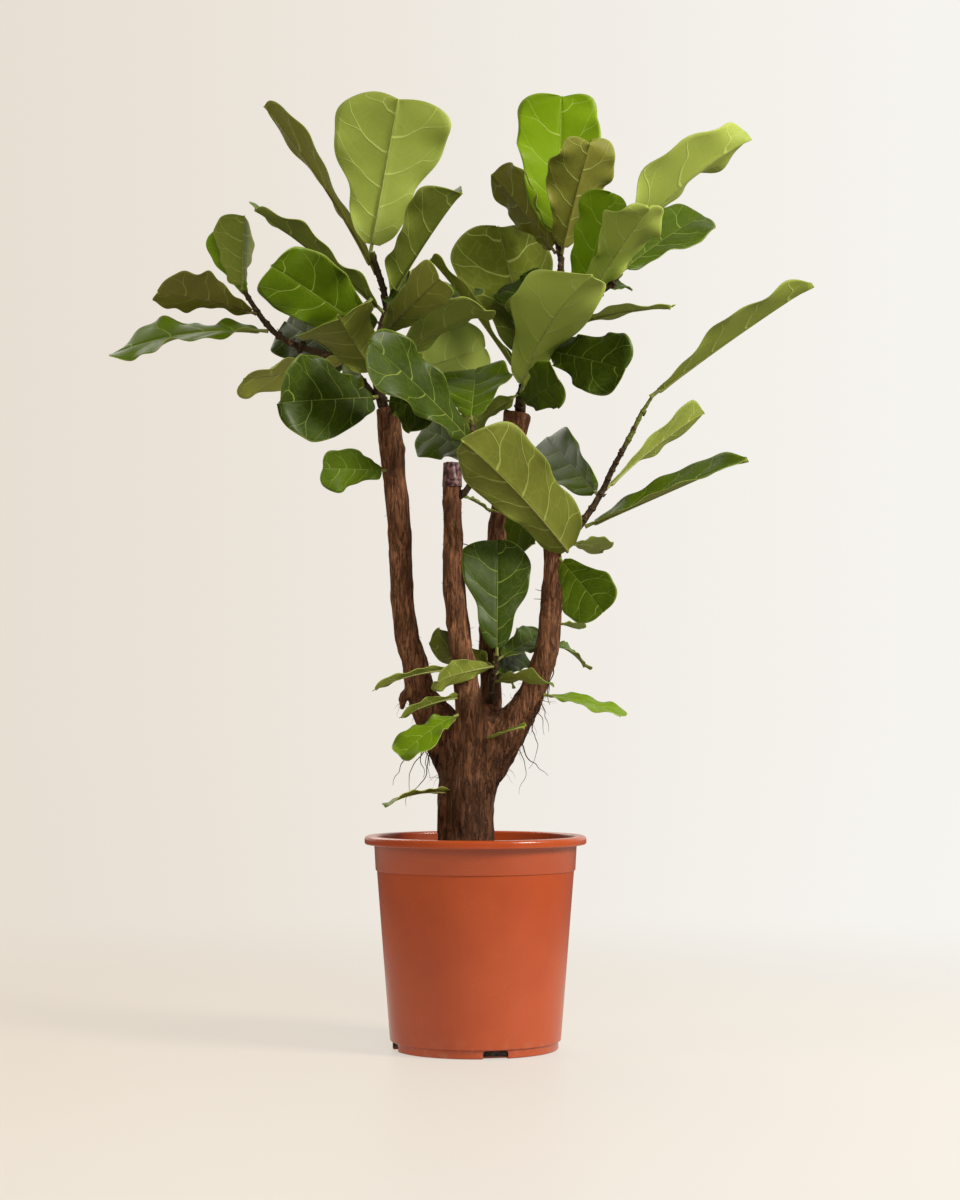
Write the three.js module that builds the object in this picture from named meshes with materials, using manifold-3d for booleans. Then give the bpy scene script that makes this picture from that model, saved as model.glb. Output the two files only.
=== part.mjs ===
// A branched fiddle leaf fig in a plastic nursery pot.
// Millimetres. +Z is up, -Y is the front, and the origin is the middle of the pot's flat base.
// The pot comes first, then the soil, the woody stems, the leafy shoots and the leaves.
import * as THREE from "three";
import { mergeVertices } from "three/addons/utils/BufferGeometryUtils.js";
import Module from "manifold-3d";

// Pot
const POT_HEIGHT = 334;
const RIM_RADIUS = 175;
const LIP_HEIGHT = 13;
const WALL_TOP_RADIUS = 160;
const BAND_HEIGHT = 280;
const BAND_RADIUS = 157.6;
const BELOW_BAND_RADIUS = 155.5;
const WALL_FOOT_RADIUS = 134.5;
const FOOT_RADIUS = 130.4;
const FOOT_HEIGHT = 14;
const WALL = 3;
const POT_SIDES = 48;

// Drain slots, cut through the foot a quarter turn apart
const SLOT_COUNT = 4;
const SLOT_WIDTH = 40;
const SLOT_HEIGHT = 13;
const SLOT_CORNER = 5;
const SLOT_DEPTH = 24;
const SLOT_FIRST_ANGLE = 14;

// Soil, with the watering space left above it
const SOIL_EDGE_HEIGHT = 294;
const SOIL_MIDDLE_HEIGHT = 300;

// Pieces that touch keep this gap
const GAP = 0.3;

// Woody stems: places along the middle of the wood, and its radius at each place
const TRUNK = {
  route: [[-15, 0, 120], [-15, 0, 295], [-15, 0, 390], [-14, 0, 440], [-8, 2, 478]],
  radii: [38, 47, 44, 46, 38],
};
const STEMS = {
  stem_left: {
    route: [
      [-35, 8, 440], [-63, 12, 492], [-82, 12, 548], [-98, 10, 611], [-111, 8, 660],
      [-118, 5, 740], [-120, 0, 817], [-128, -4, 897], [-137, -8, 984], [-141, -10, 1012],
    ],
    radii: [28, 26, 24.5, 21, 20, 19, 19, 19, 20, 19],
  },
  stem_middle: {
    route: [
      [-10, -20, 440], [-9, -32, 516], [-15, -36, 579], [-24, -38, 641], [-32, -40, 704],
      [-36, -40, 767], [-37, -40, 830], [-36, -40, 919],
    ],
    radii: [28, 24, 20, 18.5, 18, 16.5, 15.5, 14],
  },
  stem_back: {
    route: [
      [8, 18, 440], [23, 40, 516], [25, 48, 564], [23, 58, 644], [30, 66, 741],
      [39, 72, 822], [51, 78, 904], [61, 82, 978], [69, 84, 1015],
    ],
    radii: [25, 20, 17, 19, 19, 19, 20, 21, 24],
  },
  stem_right: {
    route: [
      [20, 0, 430], [53, -6, 484], [69, -10, 516], [97, -18, 579], [116, -24, 642],
      [119, -28, 705], [122, -30, 752], [119, -32, 796], [112, -32, 810],
    ],
    radii: [27, 24, 23, 21, 19, 18, 16, 14, 13],
  },
};
const FORK_HEIGHT = 505;

// The short cut stub that is fused to the outside of the right stem
const SIDE_STUB = {
  route: [[120, -28, 678], [136, -30, 712], [140, -30, 752]],
  radii: [12, 10.5, 9],
};

// Pruning wax over the cut top of the middle stem
const WAX_FOOT_HEIGHT = 884;
const WAX_THICKNESS = 1.6;

// Leafy shoots: each grows out of a stem, or out of another shoot
const SHOOTS = {
  shoot_left_crown: {
    from: "stem_left",
    route: [
      [-139, -8, 992], [-152, -5, 1032], [-159, 0, 1089], [-149, 5, 1145],
      [-141, 5, 1178], [-152, 0, 1217], [-165, -8, 1260],
    ],
    radii: [10, 9, 8, 7.5, 7, 6, 5],
  },
  shoot_left_branch: {
    from: "shoot_left_crown",
    route: [
      [-160, 0, 1028], [-178, 15, 1052], [-210, 40, 1091], [-255, 65, 1111],
      [-302, 85, 1128], [-336, 100, 1155], [-357, 110, 1183], [-381, 120, 1221],
    ],
    radii: [7, 7, 6.5, 6, 6, 5.5, 5, 4.5],
  },
  shoot_middle: {
    from: "stem_middle",
    route: [[-36, -40, 858], [-12, -48, 878], [4, -52, 915], [-2, -52, 955], [-6, -50, 985]],
    radii: [6, 6, 5.5, 5, 4.5],
  },
  shoot_back_crown: {
    from: "stem_back",
    route: [
      [72, 84, 1012], [75, 66, 1046], [95, 40, 1091], [135, 15, 1137],
      [166, -5, 1163], [188, -20, 1188], [216, -35, 1206], [230, -42, 1222],
    ],
    radii: [10, 9, 8, 7.5, 7, 6.5, 5.5, 5],
  },
  shoot_back_branch: {
    from: "shoot_back_crown",
    route: [[135, 18, 1138], [130, 60, 1195], [141, 95, 1253], [133, 115, 1303]],
    radii: [7, 6.5, 6, 5],
  },
  shoot_right: {
    from: "stem_right",
    route: [
      [127, -32, 779], [161, -35, 818], [196, -45, 869], [214, -55, 908],
      [243, -70, 961], [264, -80, 1004], [275, -85, 1019],
    ],
    radii: [8.5, 8, 7, 6.5, 6, 5, 4.5],
  },
  shoot_low: {
    from: "stem_back",
    route: [[23, 42, 530], [24, 12, 558], [28, -28, 590], [33, -48, 618]],
    radii: [6, 5.5, 5, 4.5],
  },
};

// The leaf's outline: share of the blade's length, and share of its half width
const BLADE_OUTLINE = [
  [0, 0.12], [0.08, 0.36], [0.2, 0.5], [0.34, 0.62], [0.5, 0.82],
  [0.66, 0.96], [0.79, 1], [0.9, 0.86], [0.97, 0.55],
];
const PETIOLE_SHARE = 0.14;
const LEAF_SIDES = 6;
const UPPER_SKIN = 0.4;
const UNDER_SKIN = 0.9;
const RIB_DEPTH = 1.8;

// Leaves. on and at: the shoot, and the share of its length, where the petiole joins it.
// tip: the leaf's far end. width: the blade's greatest width. turn: how far the blade is
// rolled about its length from facing up. arch and sweep: how far the midrib bows towards
// its upper face and to its right, as a share of its length. fold: how far each half of
// the blade is folded up.
const LEAVES = {
  left_leaf: [
    { on: "shoot_left_crown", at: 1, tip: [-120, -40, 1510], width: 180, turn: -50, arch: 0.03, fold: 4 },
    { on: "shoot_left_crown", at: 0.9, tip: [-345, 150, 1530], width: 120, turn: 40, arch: 0.02, fold: 10 },
    { on: "shoot_left_crown", at: 0.73, tip: [-25, -120, 1330], width: 120, turn: 5, arch: 0.02, fold: 25 },
    { on: "shoot_left_crown", at: 0.65, tip: [-345, -150, 1305], width: 110, turn: -5, arch: 0.02, fold: 15 },
    { on: "shoot_left_crown", at: 0.5, tip: [-315, -190, 1210], width: 115, turn: -120, arch: 0.01, fold: 5 },
    { on: "shoot_left_branch", at: 1, tip: [-385, 170, 1360], width: 80, turn: -145, arch: 0.02, fold: 35 },
    { on: "shoot_left_branch", at: 0.86, tip: [-510, 20, 1200], width: 110, turn: 20, arch: 0.04, fold: 8 },
    { on: "shoot_left_branch", at: 0.76, tip: [-595, 160, 1125], width: 110, turn: -40, arch: 0.06, fold: 5 },
    { on: "shoot_left_branch", at: 0.27, tip: [-365, -100, 1045], width: 100, turn: 35, fold: -10 },
    { on: "shoot_left_crown", at: 0.14, tip: [-295, -210, 995], width: 130, turn: -90, arch: 0.04, fold: 5 },
    { on: "stem_left", at: 0.83, tip: [-240, -120, 905], width: 65, turn: -95, arch: 0.03, fold: 6 },
    { on: "shoot_left_branch", at: 0.27, tip: [-320, 250, 1190], width: 110, turn: -60, arch: 0.04, fold: 5 },
    { on: "shoot_left_crown", at: 0.27, tip: [-210, -210, 1130], width: 120, turn: 35, arch: 0.08, fold: 10 },
    { on: "shoot_left_crown", at: 0.24, tip: [20, 210, 1140], width: 120, turn: -100, arch: 0.03, fold: 4 },
    { on: "shoot_left_crown", at: 0.33, tip: [20, -110, 1155], width: 110, turn: -10, arch: 0.03, fold: 15 },
    { on: "shoot_left_crown", at: 0.61, tip: [0, 125, 1220], width: 90, turn: 20, arch: 0.02, fold: 8 },
    { on: "shoot_left_crown", at: 0.51, tip: [-50, -225, 1185], width: 75, turn: -45, arch: 0.02, fold: 12 },
    { on: "shoot_left_crown", at: 0.1, tip: [-60, -80, 995], width: 90, turn: 65, arch: 0.03, fold: 5 },
  ],
  middle_leaf: [
    { on: "shoot_middle", at: 0.79, tip: [-160, -220, 1085], width: 100, turn: -80, arch: 0.02, fold: 10 },
    { on: "shoot_middle", at: 1, tip: [0, 80, 1085], width: 115, turn: 5, arch: 0.03, fold: 6 },
    { on: "shoot_middle", at: 0.63, tip: [-85, 110, 995], width: 80, turn: -70, arch: 0.02, fold: 5 },
    { on: "shoot_right", at: 0.13, tip: [0, -230, 950], width: 175, turn: 50, arch: 0.03, fold: 4 },
    { on: "stem_right", at: 0.89, tip: [200, -120, 680], width: 85, turn: 55, arch: 0.06, fold: 5 },
    { on: "shoot_right", at: 0.39, tip: [120, 190, 985], width: 110, turn: -45, arch: 0.02, fold: 5 },
    { on: "shoot_low", at: 1, tip: [35, -20, 800], width: 105, turn: 5, arch: 0.03, fold: 6 },
  ],
  right_leaf: [
    { on: "shoot_right", at: 0.23, tip: [405, -120, 915], width: 110, turn: 25, fold: 5 },
    { on: "shoot_right", at: 0.45, tip: [365, 120, 1015], width: 100, turn: -45, arch: 0.02, fold: 10 },
    { on: "shoot_right", at: 1, tip: [505, -160, 1175], width: 120, turn: -10, arch: 0.01, fold: 8 },
  ],
  back_leaf: [
    { on: "shoot_back_branch", at: 1, tip: [145, 200, 1570], width: 150, turn: 5, arch: -0.03, fold: 8 },
    { on: "shoot_back_branch", at: 0.86, tip: [185, 0, 1445], width: 110, turn: -10, arch: 0.03, fold: 10 },
    { on: "shoot_back_branch", at: 0.92, tip: [30, 210, 1430], width: 90, turn: 75, arch: 0.02, fold: 12 },
    { on: "shoot_back_crown", at: 0.31, tip: [35, 220, 1355], width: 160, turn: 155, arch: 0.03, fold: 5 },
    { on: "shoot_back_crown", at: 0.43, tip: [70, 120, 1245], width: 100, turn: -35, arch: 0.03, fold: 5 },
    { on: "shoot_back_crown", at: 0.72, tip: [215, -60, 1345], width: 95, turn: 115, arch: 0.02, fold: 10 },
    { on: "shoot_back_crown", at: 0.92, tip: [415, -130, 1410], width: 130, turn: -10, fold: 12, sweep: 0.14 },
    { on: "shoot_back_crown", at: 0.8, tip: [265, -190, 1295], width: 90, turn: -10, arch: 0.03, fold: 15 },
    { on: "shoot_back_crown", at: 1, tip: [370, 100, 1340], width: 90, turn: 35, arch: 0.03, fold: 8 },
    { on: "shoot_back_crown", at: 0.16, tip: [120, -160, 1200], width: 150, turn: -20, arch: 0.04, fold: 6 },
    { on: "shoot_back_crown", at: 0.42, tip: [235, -130, 1055], width: 100, turn: 75, arch: 0.05, fold: 5 },
    { on: "shoot_back_crown", at: 0.64, tip: [300, -110, 1155], width: 70, turn: -15, arch: 0.04, fold: 8 },
    { on: "shoot_back_crown", at: 0.08, tip: [135, -60, 1050], width: 80, turn: 115, arch: 0.03, fold: 5 },
    { on: "shoot_back_crown", at: 0.11, tip: [-20, 20, 975], width: 70, turn: 45, arch: 0.03, fold: 10 },
  ],
  low_leaf: [
    { on: "shoot_low", at: 0.85, tip: [-60, -130, 575], width: 50, turn: 75, arch: 0.05, fold: 8 },
    { on: "stem_middle", at: 0.18, tip: [-115, -120, 460], width: 60, turn: -35, arch: 0.08, fold: 5 },
    { on: "stem_right", at: 0.38, tip: [230, -100, 520], width: 60, turn: 20, arch: 0.06, fold: 5 },
  ],
};

const COLOURS = {
  pot: new THREE.MeshStandardMaterial({ color: 0xb4552d, roughness: 0.35, metalness: 0 }),
  soil: new THREE.MeshStandardMaterial({ color: 0x3b2a1e, roughness: 0.95, metalness: 0 }),
  bark: new THREE.MeshStandardMaterial({ color: 0x7a5a43, roughness: 0.85, metalness: 0 }),
  wax: new THREE.MeshStandardMaterial({ color: 0x4a2f33, roughness: 0.4, metalness: 0 }),
  twig: new THREE.MeshStandardMaterial({ color: 0x4d3a26, roughness: 0.8, metalness: 0 }),
  leaf: new THREE.MeshStandardMaterial({ color: 0x4f7a22, roughness: 0.35, metalness: 0 }),
};

const wasm = await Module();
wasm.setup();

function toSolid(geometry) {
  const bare = new THREE.BufferGeometry();
  bare.setAttribute("position", geometry.getAttribute("position").clone());
  bare.setIndex(geometry.getIndex());
  const merged = mergeVertices(bare, 1e-4);
  const mesh = new wasm.Mesh({
    numProp: 3,
    vertProperties: new Float32Array(merged.getAttribute("position").array),
    triVerts: new Uint32Array(merged.getIndex().array),
  });
  return new wasm.Manifold(mesh);
}

function toGeometry(solid) {
  const mesh = solid.getMesh();
  const geometry = new THREE.BufferGeometry();
  geometry.setAttribute("position", new THREE.Float32BufferAttribute(mesh.vertProperties, 3));
  geometry.setIndex(Array.from(mesh.triVerts));
  return geometry;
}

// A cut can leave chips behind: the piece is the biggest part of what is left.
function biggestPart(solid) {
  const parts = solid.decompose();
  parts.sort((a, b) => b.volume() - a.volume());
  return parts[0];
}

function cutAway(geometry, neighbours) {
  let solid = toSolid(geometry);
  for (const neighbour of neighbours) {
    solid = solid.subtract(toSolid(neighbour));
  }
  return toGeometry(biggestPart(solid));
}

function joined(geometries) {
  let solid = toSolid(geometries[0]);
  for (const geometry of geometries.slice(1)) {
    solid = solid.add(toSolid(geometry));
  }
  return toGeometry(solid);
}

// Wood is a cylinder bent along a curve, with its own radius at each place.
function curveOf(wood) {
  return new THREE.CatmullRomCurve3(wood.route.map((place) => new THREE.Vector3(...place)));
}

function radiusAt(wood, curve, share) {
  const place = curve.getUtoTmapping(share) * (wood.radii.length - 1);
  const before = Math.min(Math.floor(place), wood.radii.length - 2);
  return THREE.MathUtils.lerp(wood.radii[before], wood.radii[before + 1], place - before);
}

function bentCylinder(wood, { sides = 10, from = 0, to = 1, extra = 0, rings }) {
  const curve = curveOf(wood);
  const steps = rings ?? Math.max(4, Math.round((wood.route.length - 1) * 1.5));
  const frames = curve.computeFrenetFrames(200, false);
  const geometry = new THREE.CylinderGeometry(1, 1, 1, sides, steps);
  const position = geometry.getAttribute("position");
  for (let i = 0; i < position.count; i += 1) {
    const share = THREE.MathUtils.lerp(from, to, position.getY(i) + 0.5);
    const frame = Math.round(share * 200);
    const radius = radiusAt(wood, curve, share) + extra;
    const place = curve.getPointAt(share);
    place.addScaledVector(frames.normals[frame], radius * position.getX(i));
    place.addScaledVector(frames.binormals[frame], -radius * position.getZ(i));
    if (position.getY(i) > 0.499) place.addScaledVector(frames.tangents[frame], extra);
    if (position.getY(i) < -0.499) place.addScaledVector(frames.tangents[frame], -extra);
    position.setXYZ(i, place.x, place.y, place.z);
  }
  return geometry;
}

// The share of a stem's length at which it passes a height
function shareAtHeight(wood, height) {
  const curve = curveOf(wood);
  let low = 0;
  let high = 1;
  for (let step = 0; step < 30; step += 1) {
    const middle = (low + high) / 2;
    if (curve.getPointAt(middle).z < height) low = middle;
    else high = middle;
  }
  return low;
}

function turned(profile, sides) {
  const points = profile.map(([radius, height]) => new THREE.Vector2(radius, height));
  return new THREE.LatheGeometry(points, sides).rotateX(Math.PI / 2);
}

function slotCutter(angle) {
  const half = SLOT_WIDTH / 2;
  const outline = new THREE.Shape();
  outline.moveTo(-half, -1);
  outline.lineTo(half, -1);
  outline.lineTo(half, SLOT_HEIGHT - SLOT_CORNER);
  outline.absarc(half - SLOT_CORNER, SLOT_HEIGHT - SLOT_CORNER, SLOT_CORNER, 0, Math.PI / 2);
  outline.absarc(SLOT_CORNER - half, SLOT_HEIGHT - SLOT_CORNER, SLOT_CORNER, Math.PI / 2, Math.PI);
  const cutter = new THREE.ExtrudeGeometry(outline, {
    depth: SLOT_DEPTH, bevelEnabled: false, curveSegments: 3,
  });
  cutter.rotateX(Math.PI / 2);
  cutter.translate(0, SLOT_DEPTH - WALL_FOOT_RADIUS - 4, 0);
  return cutter.rotateZ(THREE.MathUtils.degToRad(angle));
}

function potGeometry() {
  const lipFoot = POT_HEIGHT - LIP_HEIGHT;
  const shell = turned([
    [0, 0],
    [FOOT_RADIUS, 0],
    [FOOT_RADIUS + 1, FOOT_HEIGHT - 1],
    [WALL_FOOT_RADIUS, FOOT_HEIGHT],
    [BELOW_BAND_RADIUS, BAND_HEIGHT],
    [BAND_RADIUS, BAND_HEIGHT + 1],
    [WALL_TOP_RADIUS, lipFoot],
    [RIM_RADIUS - 2, lipFoot],
    [RIM_RADIUS, lipFoot + 3],
    [RIM_RADIUS, POT_HEIGHT - 4],
    [RIM_RADIUS - 3, POT_HEIGHT],
    [WALL_TOP_RADIUS, POT_HEIGHT],
    [WALL_TOP_RADIUS - WALL, POT_HEIGHT - 3],
    [BELOW_BAND_RADIUS - WALL, BAND_HEIGHT],
    [WALL_FOOT_RADIUS - WALL, FOOT_HEIGHT + WALL],
    [FOOT_RADIUS - WALL, WALL],
    [0, WALL],
  ], POT_SIDES);
  const cutters = [];
  for (let slot = 0; slot < SLOT_COUNT; slot += 1) {
    cutters.push(slotCutter(SLOT_FIRST_ANGLE + slot * 360 / SLOT_COUNT));
  }
  return cutAway(shell, cutters);
}

function soilGeometry() {
  const clear = WALL + GAP;
  const fill = turned([
    [0, clear],
    [FOOT_RADIUS - clear, clear],
    [WALL_FOOT_RADIUS - clear, FOOT_HEIGHT + clear],
    [BELOW_BAND_RADIUS - clear, BAND_HEIGHT],
    [BELOW_BAND_RADIUS - clear, SOIL_EDGE_HEIGHT],
    [110, SOIL_MIDDLE_HEIGHT - 3],
    [0, SOIL_MIDDLE_HEIGHT],
  ], POT_SIDES);
  return cutAway(fill, [bentCylinder(TRUNK, { sides: 12, extra: GAP })]);
}

const wood = { ...STEMS, ...SHOOTS };
const plant = new THREE.Group();

function addPiece(name, geometry, material) {
  const mesh = new THREE.Mesh(geometry, material);
  mesh.name = name;
  plant.add(mesh);
}

addPiece("pot", potGeometry(), COLOURS.pot);
addPiece("soil", soilGeometry(), COLOURS.soil);

// The trunk keeps the first stretch of every stem, up to the height of the fork.
const forkStretches = Object.values(STEMS).map((stem) => (
  bentCylinder(stem, { to: shareAtHeight(stem, FORK_HEIGHT), rings: 3 })
));
addPiece("trunk", joined([bentCylinder(TRUNK, { sides: 12 }), ...forkStretches]), COLOURS.bark);

function stemGeometry(name, extra = 0) {
  const stem = STEMS[name];
  const from = shareAtHeight(stem, FORK_HEIGHT) + GAP / curveOf(stem).getLength();
  const body = bentCylinder(stem, { from, extra });
  if (name !== "stem_right") return body;
  return joined([body, bentCylinder(SIDE_STUB, { sides: 8, extra })]);
}

for (const name of Object.keys(STEMS)) addPiece(name, stemGeometry(name), COLOURS.bark);

const waxCoat = bentCylinder(STEMS.stem_middle, {
  from: shareAtHeight(STEMS.stem_middle, WAX_FOOT_HEIGHT), extra: WAX_THICKNESS, rings: 2,
});
addPiece("wax_cap", cutAway(waxCoat, [stemGeometry("stem_middle", GAP)]), COLOURS.wax);

for (const [name, shoot] of Object.entries(SHOOTS)) {
  const parent = shoot.from in STEMS
    ? stemGeometry(shoot.from, GAP)
    : bentCylinder(SHOOTS[shoot.from], { sides: 8, extra: GAP });
  addPiece(name, cutAway(bentCylinder(shoot, { sides: 8 }), [parent]), COLOURS.twig);
}

// A leaf is a six-sided tube, round at the petiole and pressed flat into the blade.
function leafSection(leaf, ring, corner, length) {
  const angle = corner * Math.PI * 2 / LEAF_SIDES;
  if (ring < 2) {
    const petiole = 1.6 + length / 200;
    const share = ring * PETIOLE_SHARE * 0.93;
    return { share, side: Math.sin(angle) * petiole, up: Math.cos(angle) * petiole };
  }
  const [bladeShare, widthShare] = BLADE_OUTLINE[ring - 2];
  const half = leaf.width / 2 * widthShare;
  const rise = half * Math.tan(THREE.MathUtils.degToRad(leaf.fold ?? 0));
  const section = [
    [0, UPPER_SKIN], [half, rise], [half / 2, rise / 2 - UNDER_SKIN],
    [0, -RIB_DEPTH], [-half / 2, rise / 2 - UNDER_SKIN], [-half, rise],
  ][corner];
  const share = PETIOLE_SHARE + (1 - PETIOLE_SHARE) * bladeShare;
  return { share, side: section[0], up: section[1] };
}

function leafBase(leaf, tip) {
  const shoot = wood[leaf.on];
  const curve = curveOf(shoot);
  const centre = curve.getPointAt(leaf.at);
  const along = curve.getTangentAt(leaf.at);
  if (leaf.at === 1) return centre.addScaledVector(along, 5);
  const away = tip.clone().sub(centre);
  away.addScaledVector(along, -away.dot(along)).normalize();
  return centre.addScaledVector(away, radiusAt(shoot, curve, leaf.at) + GAP + 4);
}

function leafGeometry(leaf) {
  const tip = new THREE.Vector3(...leaf.tip);
  const base = leafBase(leaf, tip);
  const chord = tip.clone().sub(base);
  const length = chord.length();
  const ahead = chord.clone().normalize();
  const level = new THREE.Vector3(ahead.x, ahead.y, 0).normalize();
  const facing = new THREE.Vector3().crossVectors(level, new THREE.Vector3(0, 0, 1)).cross(ahead);
  facing.applyAxisAngle(ahead, THREE.MathUtils.degToRad(leaf.turn));
  const aside = new THREE.Vector3().crossVectors(ahead, facing);
  const bow = facing.clone().multiplyScalar((leaf.arch ?? 0) * length);
  bow.addScaledVector(aside, (leaf.sweep ?? 0) * length);
  const rings = BLADE_OUTLINE.length + 1;
  const geometry = new THREE.CylinderGeometry(1, 1, 1, LEAF_SIDES, rings);
  const position = geometry.getAttribute("position");
  for (let i = 0; i < position.count; i += 1) {
    const ring = Math.round((position.getY(i) + 0.5) * rings);
    const out = Math.hypot(position.getX(i), position.getZ(i));
    const turnAbout = Math.atan2(position.getX(i), position.getZ(i));
    const corner = (Math.round(turnAbout / (Math.PI * 2) * LEAF_SIDES) + LEAF_SIDES) % LEAF_SIDES;
    let { share, side, up } = leafSection(leaf, ring, corner, length);
    if (out < 0.5) {
      share = ring === 0 ? -0.01 : 1;
      side = 0;
      up = 0;
    }
    const along = chord.clone().addScaledVector(bow, 4 - 8 * share).normalize();
    const upward = facing.clone().addScaledVector(along, -facing.dot(along)).normalize();
    const sideways = new THREE.Vector3().crossVectors(along, upward);
    const place = base.clone().addScaledVector(chord, share);
    place.addScaledVector(bow, 4 * share * (1 - share));
    place.addScaledVector(sideways, side).addScaledVector(upward, up);
    position.setXYZ(i, place.x, place.y, place.z);
  }
  return geometry;
}

for (const [group, leaves] of Object.entries(LEAVES)) {
  leaves.forEach((leaf, index) => {
    addPiece(`${group}_${index + 1}`, leafGeometry(leaf), COLOURS.leaf);
  });
}

export default plant;
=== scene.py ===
# %% [markdown]
# # A potted fiddle leaf fig
# The imported frame holds the fig as plain closed solids: a pot, its soil, a forked trunk, leafy
# shoots and one solid for each big leaf. This lesson keeps every place and size from that frame
# and gives each piece its real surface. We load the frame first.

# %% Load the frame
import math
import random
import bpy
import bmesh
from mathutils import Matrix, Vector, noise


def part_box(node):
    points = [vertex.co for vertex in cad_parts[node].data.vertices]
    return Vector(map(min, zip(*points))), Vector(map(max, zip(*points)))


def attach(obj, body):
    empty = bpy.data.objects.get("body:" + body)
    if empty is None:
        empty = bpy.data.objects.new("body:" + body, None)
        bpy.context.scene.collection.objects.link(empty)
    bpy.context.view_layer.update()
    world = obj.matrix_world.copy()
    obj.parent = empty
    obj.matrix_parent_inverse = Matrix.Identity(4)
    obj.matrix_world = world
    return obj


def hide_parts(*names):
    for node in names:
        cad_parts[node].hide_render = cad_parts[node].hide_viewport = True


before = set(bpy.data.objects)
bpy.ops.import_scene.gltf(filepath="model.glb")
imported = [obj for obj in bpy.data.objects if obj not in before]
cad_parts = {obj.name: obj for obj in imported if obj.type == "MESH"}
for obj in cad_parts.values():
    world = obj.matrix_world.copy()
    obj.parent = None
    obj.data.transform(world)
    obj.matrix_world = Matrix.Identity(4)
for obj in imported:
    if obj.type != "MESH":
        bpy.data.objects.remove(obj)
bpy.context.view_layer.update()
MM = 0.001
print("nodes in the frame:", len(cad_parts))

# %% [markdown]
# ## Camera
# A plant this tall is seen whole from four metres away with a longish lens, so that the pot
# and the leaves keep their true proportions. The eye is at the height of the trunk's fork and
# looks up a little, which shows the undersides of the higher leaves.

# %% Camera
EYE = Vector((0.0071, -4.0, 0.5262))
LOOK_UP = math.radians(2.577)
camera = bpy.data.objects.new("camera", bpy.data.cameras.new("camera"))
camera.data.lens = 75.75
camera.data.sensor_width = 36
camera.location = EYE
camera.rotation_euler = (math.pi / 2 + LOOK_UP, 0, 0)
bpy.context.scene.collection.objects.link(camera)
bpy.context.scene.camera = camera
bpy.context.scene.view_settings.view_transform = "Standard"
print("camera at", tuple(round(value, 3) for value in EYE), "with a lens of", camera.data.lens, "mm")

# %% [markdown]
# ## Small node helpers
# Every finish below is a node tree. A few short helpers keep the trees readable: one adds a
# node and fills its sockets, one mixes colours, and one makes a shared group with named
# sockets. Constants go straight on the shader's own sockets, so that they survive an export.

# %% Node helpers
SCALAR = "NodeSocketFloat"


def add_node(tree, kind, inputs=None, **settings):
    node = tree.nodes.new(kind)
    for name, value in settings.items():
        setattr(node, name, value)
    for name, value in (inputs or {}).items():
        if isinstance(value, bpy.types.NodeSocket):
            tree.links.new(value, node.inputs[name])
        else:
            node.inputs[name].default_value = value
    return node


def maths(tree, operation, a, b=0.0, c=0.0, clamp=False):
    node = add_node(tree, "ShaderNodeMath", {0: a, 1: b, 2: c}, operation=operation, use_clamp=clamp)
    return node.outputs[0]


def ramp(tree, value, low, high, to_low=0.0, to_high=1.0):
    inputs = {"Value": value, "From Min": low, "From Max": high, "To Min": to_low, "To Max": to_high}
    return add_node(tree, "ShaderNodeMapRange", inputs, interpolation_type="SMOOTHSTEP").outputs[0]


def blend_colours(tree, share, first, second):
    node = tree.nodes.new("ShaderNodeMix")
    node.data_type = "RGBA"
    for index, value in ((0, share), (6, first), (7, second)):
        if isinstance(value, bpy.types.NodeSocket):
            tree.links.new(value, node.inputs[index])
        else:
            node.inputs[index].default_value = (*value, 1) if index else value
    return node.outputs[2]


def new_material(name, **principled):
    material = bpy.data.materials.new(name)
    material.use_nodes = True
    shader = material.node_tree.nodes["Principled BSDF"]
    for socket, value in principled.items():
        shader.inputs[socket.replace("_", " ")].default_value = value
    return material, material.node_tree, shader


def new_group(name, inputs, outputs):
    group = bpy.data.node_groups.new(name, "ShaderNodeTree")
    for socket, kind in inputs:
        group.interface.new_socket(socket, in_out="INPUT", socket_type=kind)
    for socket, kind in outputs:
        group.interface.new_socket(socket, in_out="OUTPUT", socket_type=kind)
    start = group.nodes.new("NodeGroupInput")
    end = group.nodes.new("NodeGroupOutput")
    return group, start.outputs, end.inputs


def bump(tree, shader, height, strength, distance):
    inputs = {"Height": height, "Strength": strength, "Distance": distance}
    node = add_node(tree, "ShaderNodeBump", inputs)
    tree.links.new(node.outputs[0], shader.inputs["Normal"])


def object_place(tree):
    return add_node(tree, "ShaderNodeTexCoord").outputs["Object"]


def noise_pattern(tree, place, scale, detail, **more):
    inputs = {"Vector": place, "Scale": scale, "Detail": detail, **more}
    return add_node(tree, "ShaderNodeTexNoise", inputs).outputs[0]


def point_value(tree, name):
    return add_node(tree, "ShaderNodeAttribute", attribute_name=name).outputs["Fac"]


def two_tone(name, roughness, scale, detail, low, high, dark, pale):
    """A finish whose noise goes from a dark colour to a pale one. Its noise can feed a bump."""
    material, tree, shader = new_material(name, Roughness=roughness)
    grain = noise_pattern(tree, object_place(tree), scale, detail)
    colour = blend_colours(tree, ramp(tree, grain, low, high), dark, pale)
    tree.links.new(colour, shader.inputs["Base Color"])
    return material, tree, shader, grain

# %% [markdown]
# ## Mesh helpers
# A frame node's mesh is loose triangles, so a copy has its doubles merged before any use. A
# tube is a grid rolled up along a path: the grid's two long edges meet, and its ends are filled.
# A finished piece sits at the origin with its place in its mesh, and rides on the one body.

# %% Mesh helpers
def merged_copy(*nodes):
    """One bmesh of the nodes' solids, with the doubles of their loose triangles merged."""
    bm = bmesh.new()
    for node in nodes:
        bm.from_mesh(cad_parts[node].data)
    bmesh.ops.remove_doubles(bm, verts=bm.verts, dist=1e-6)
    return bm


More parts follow.
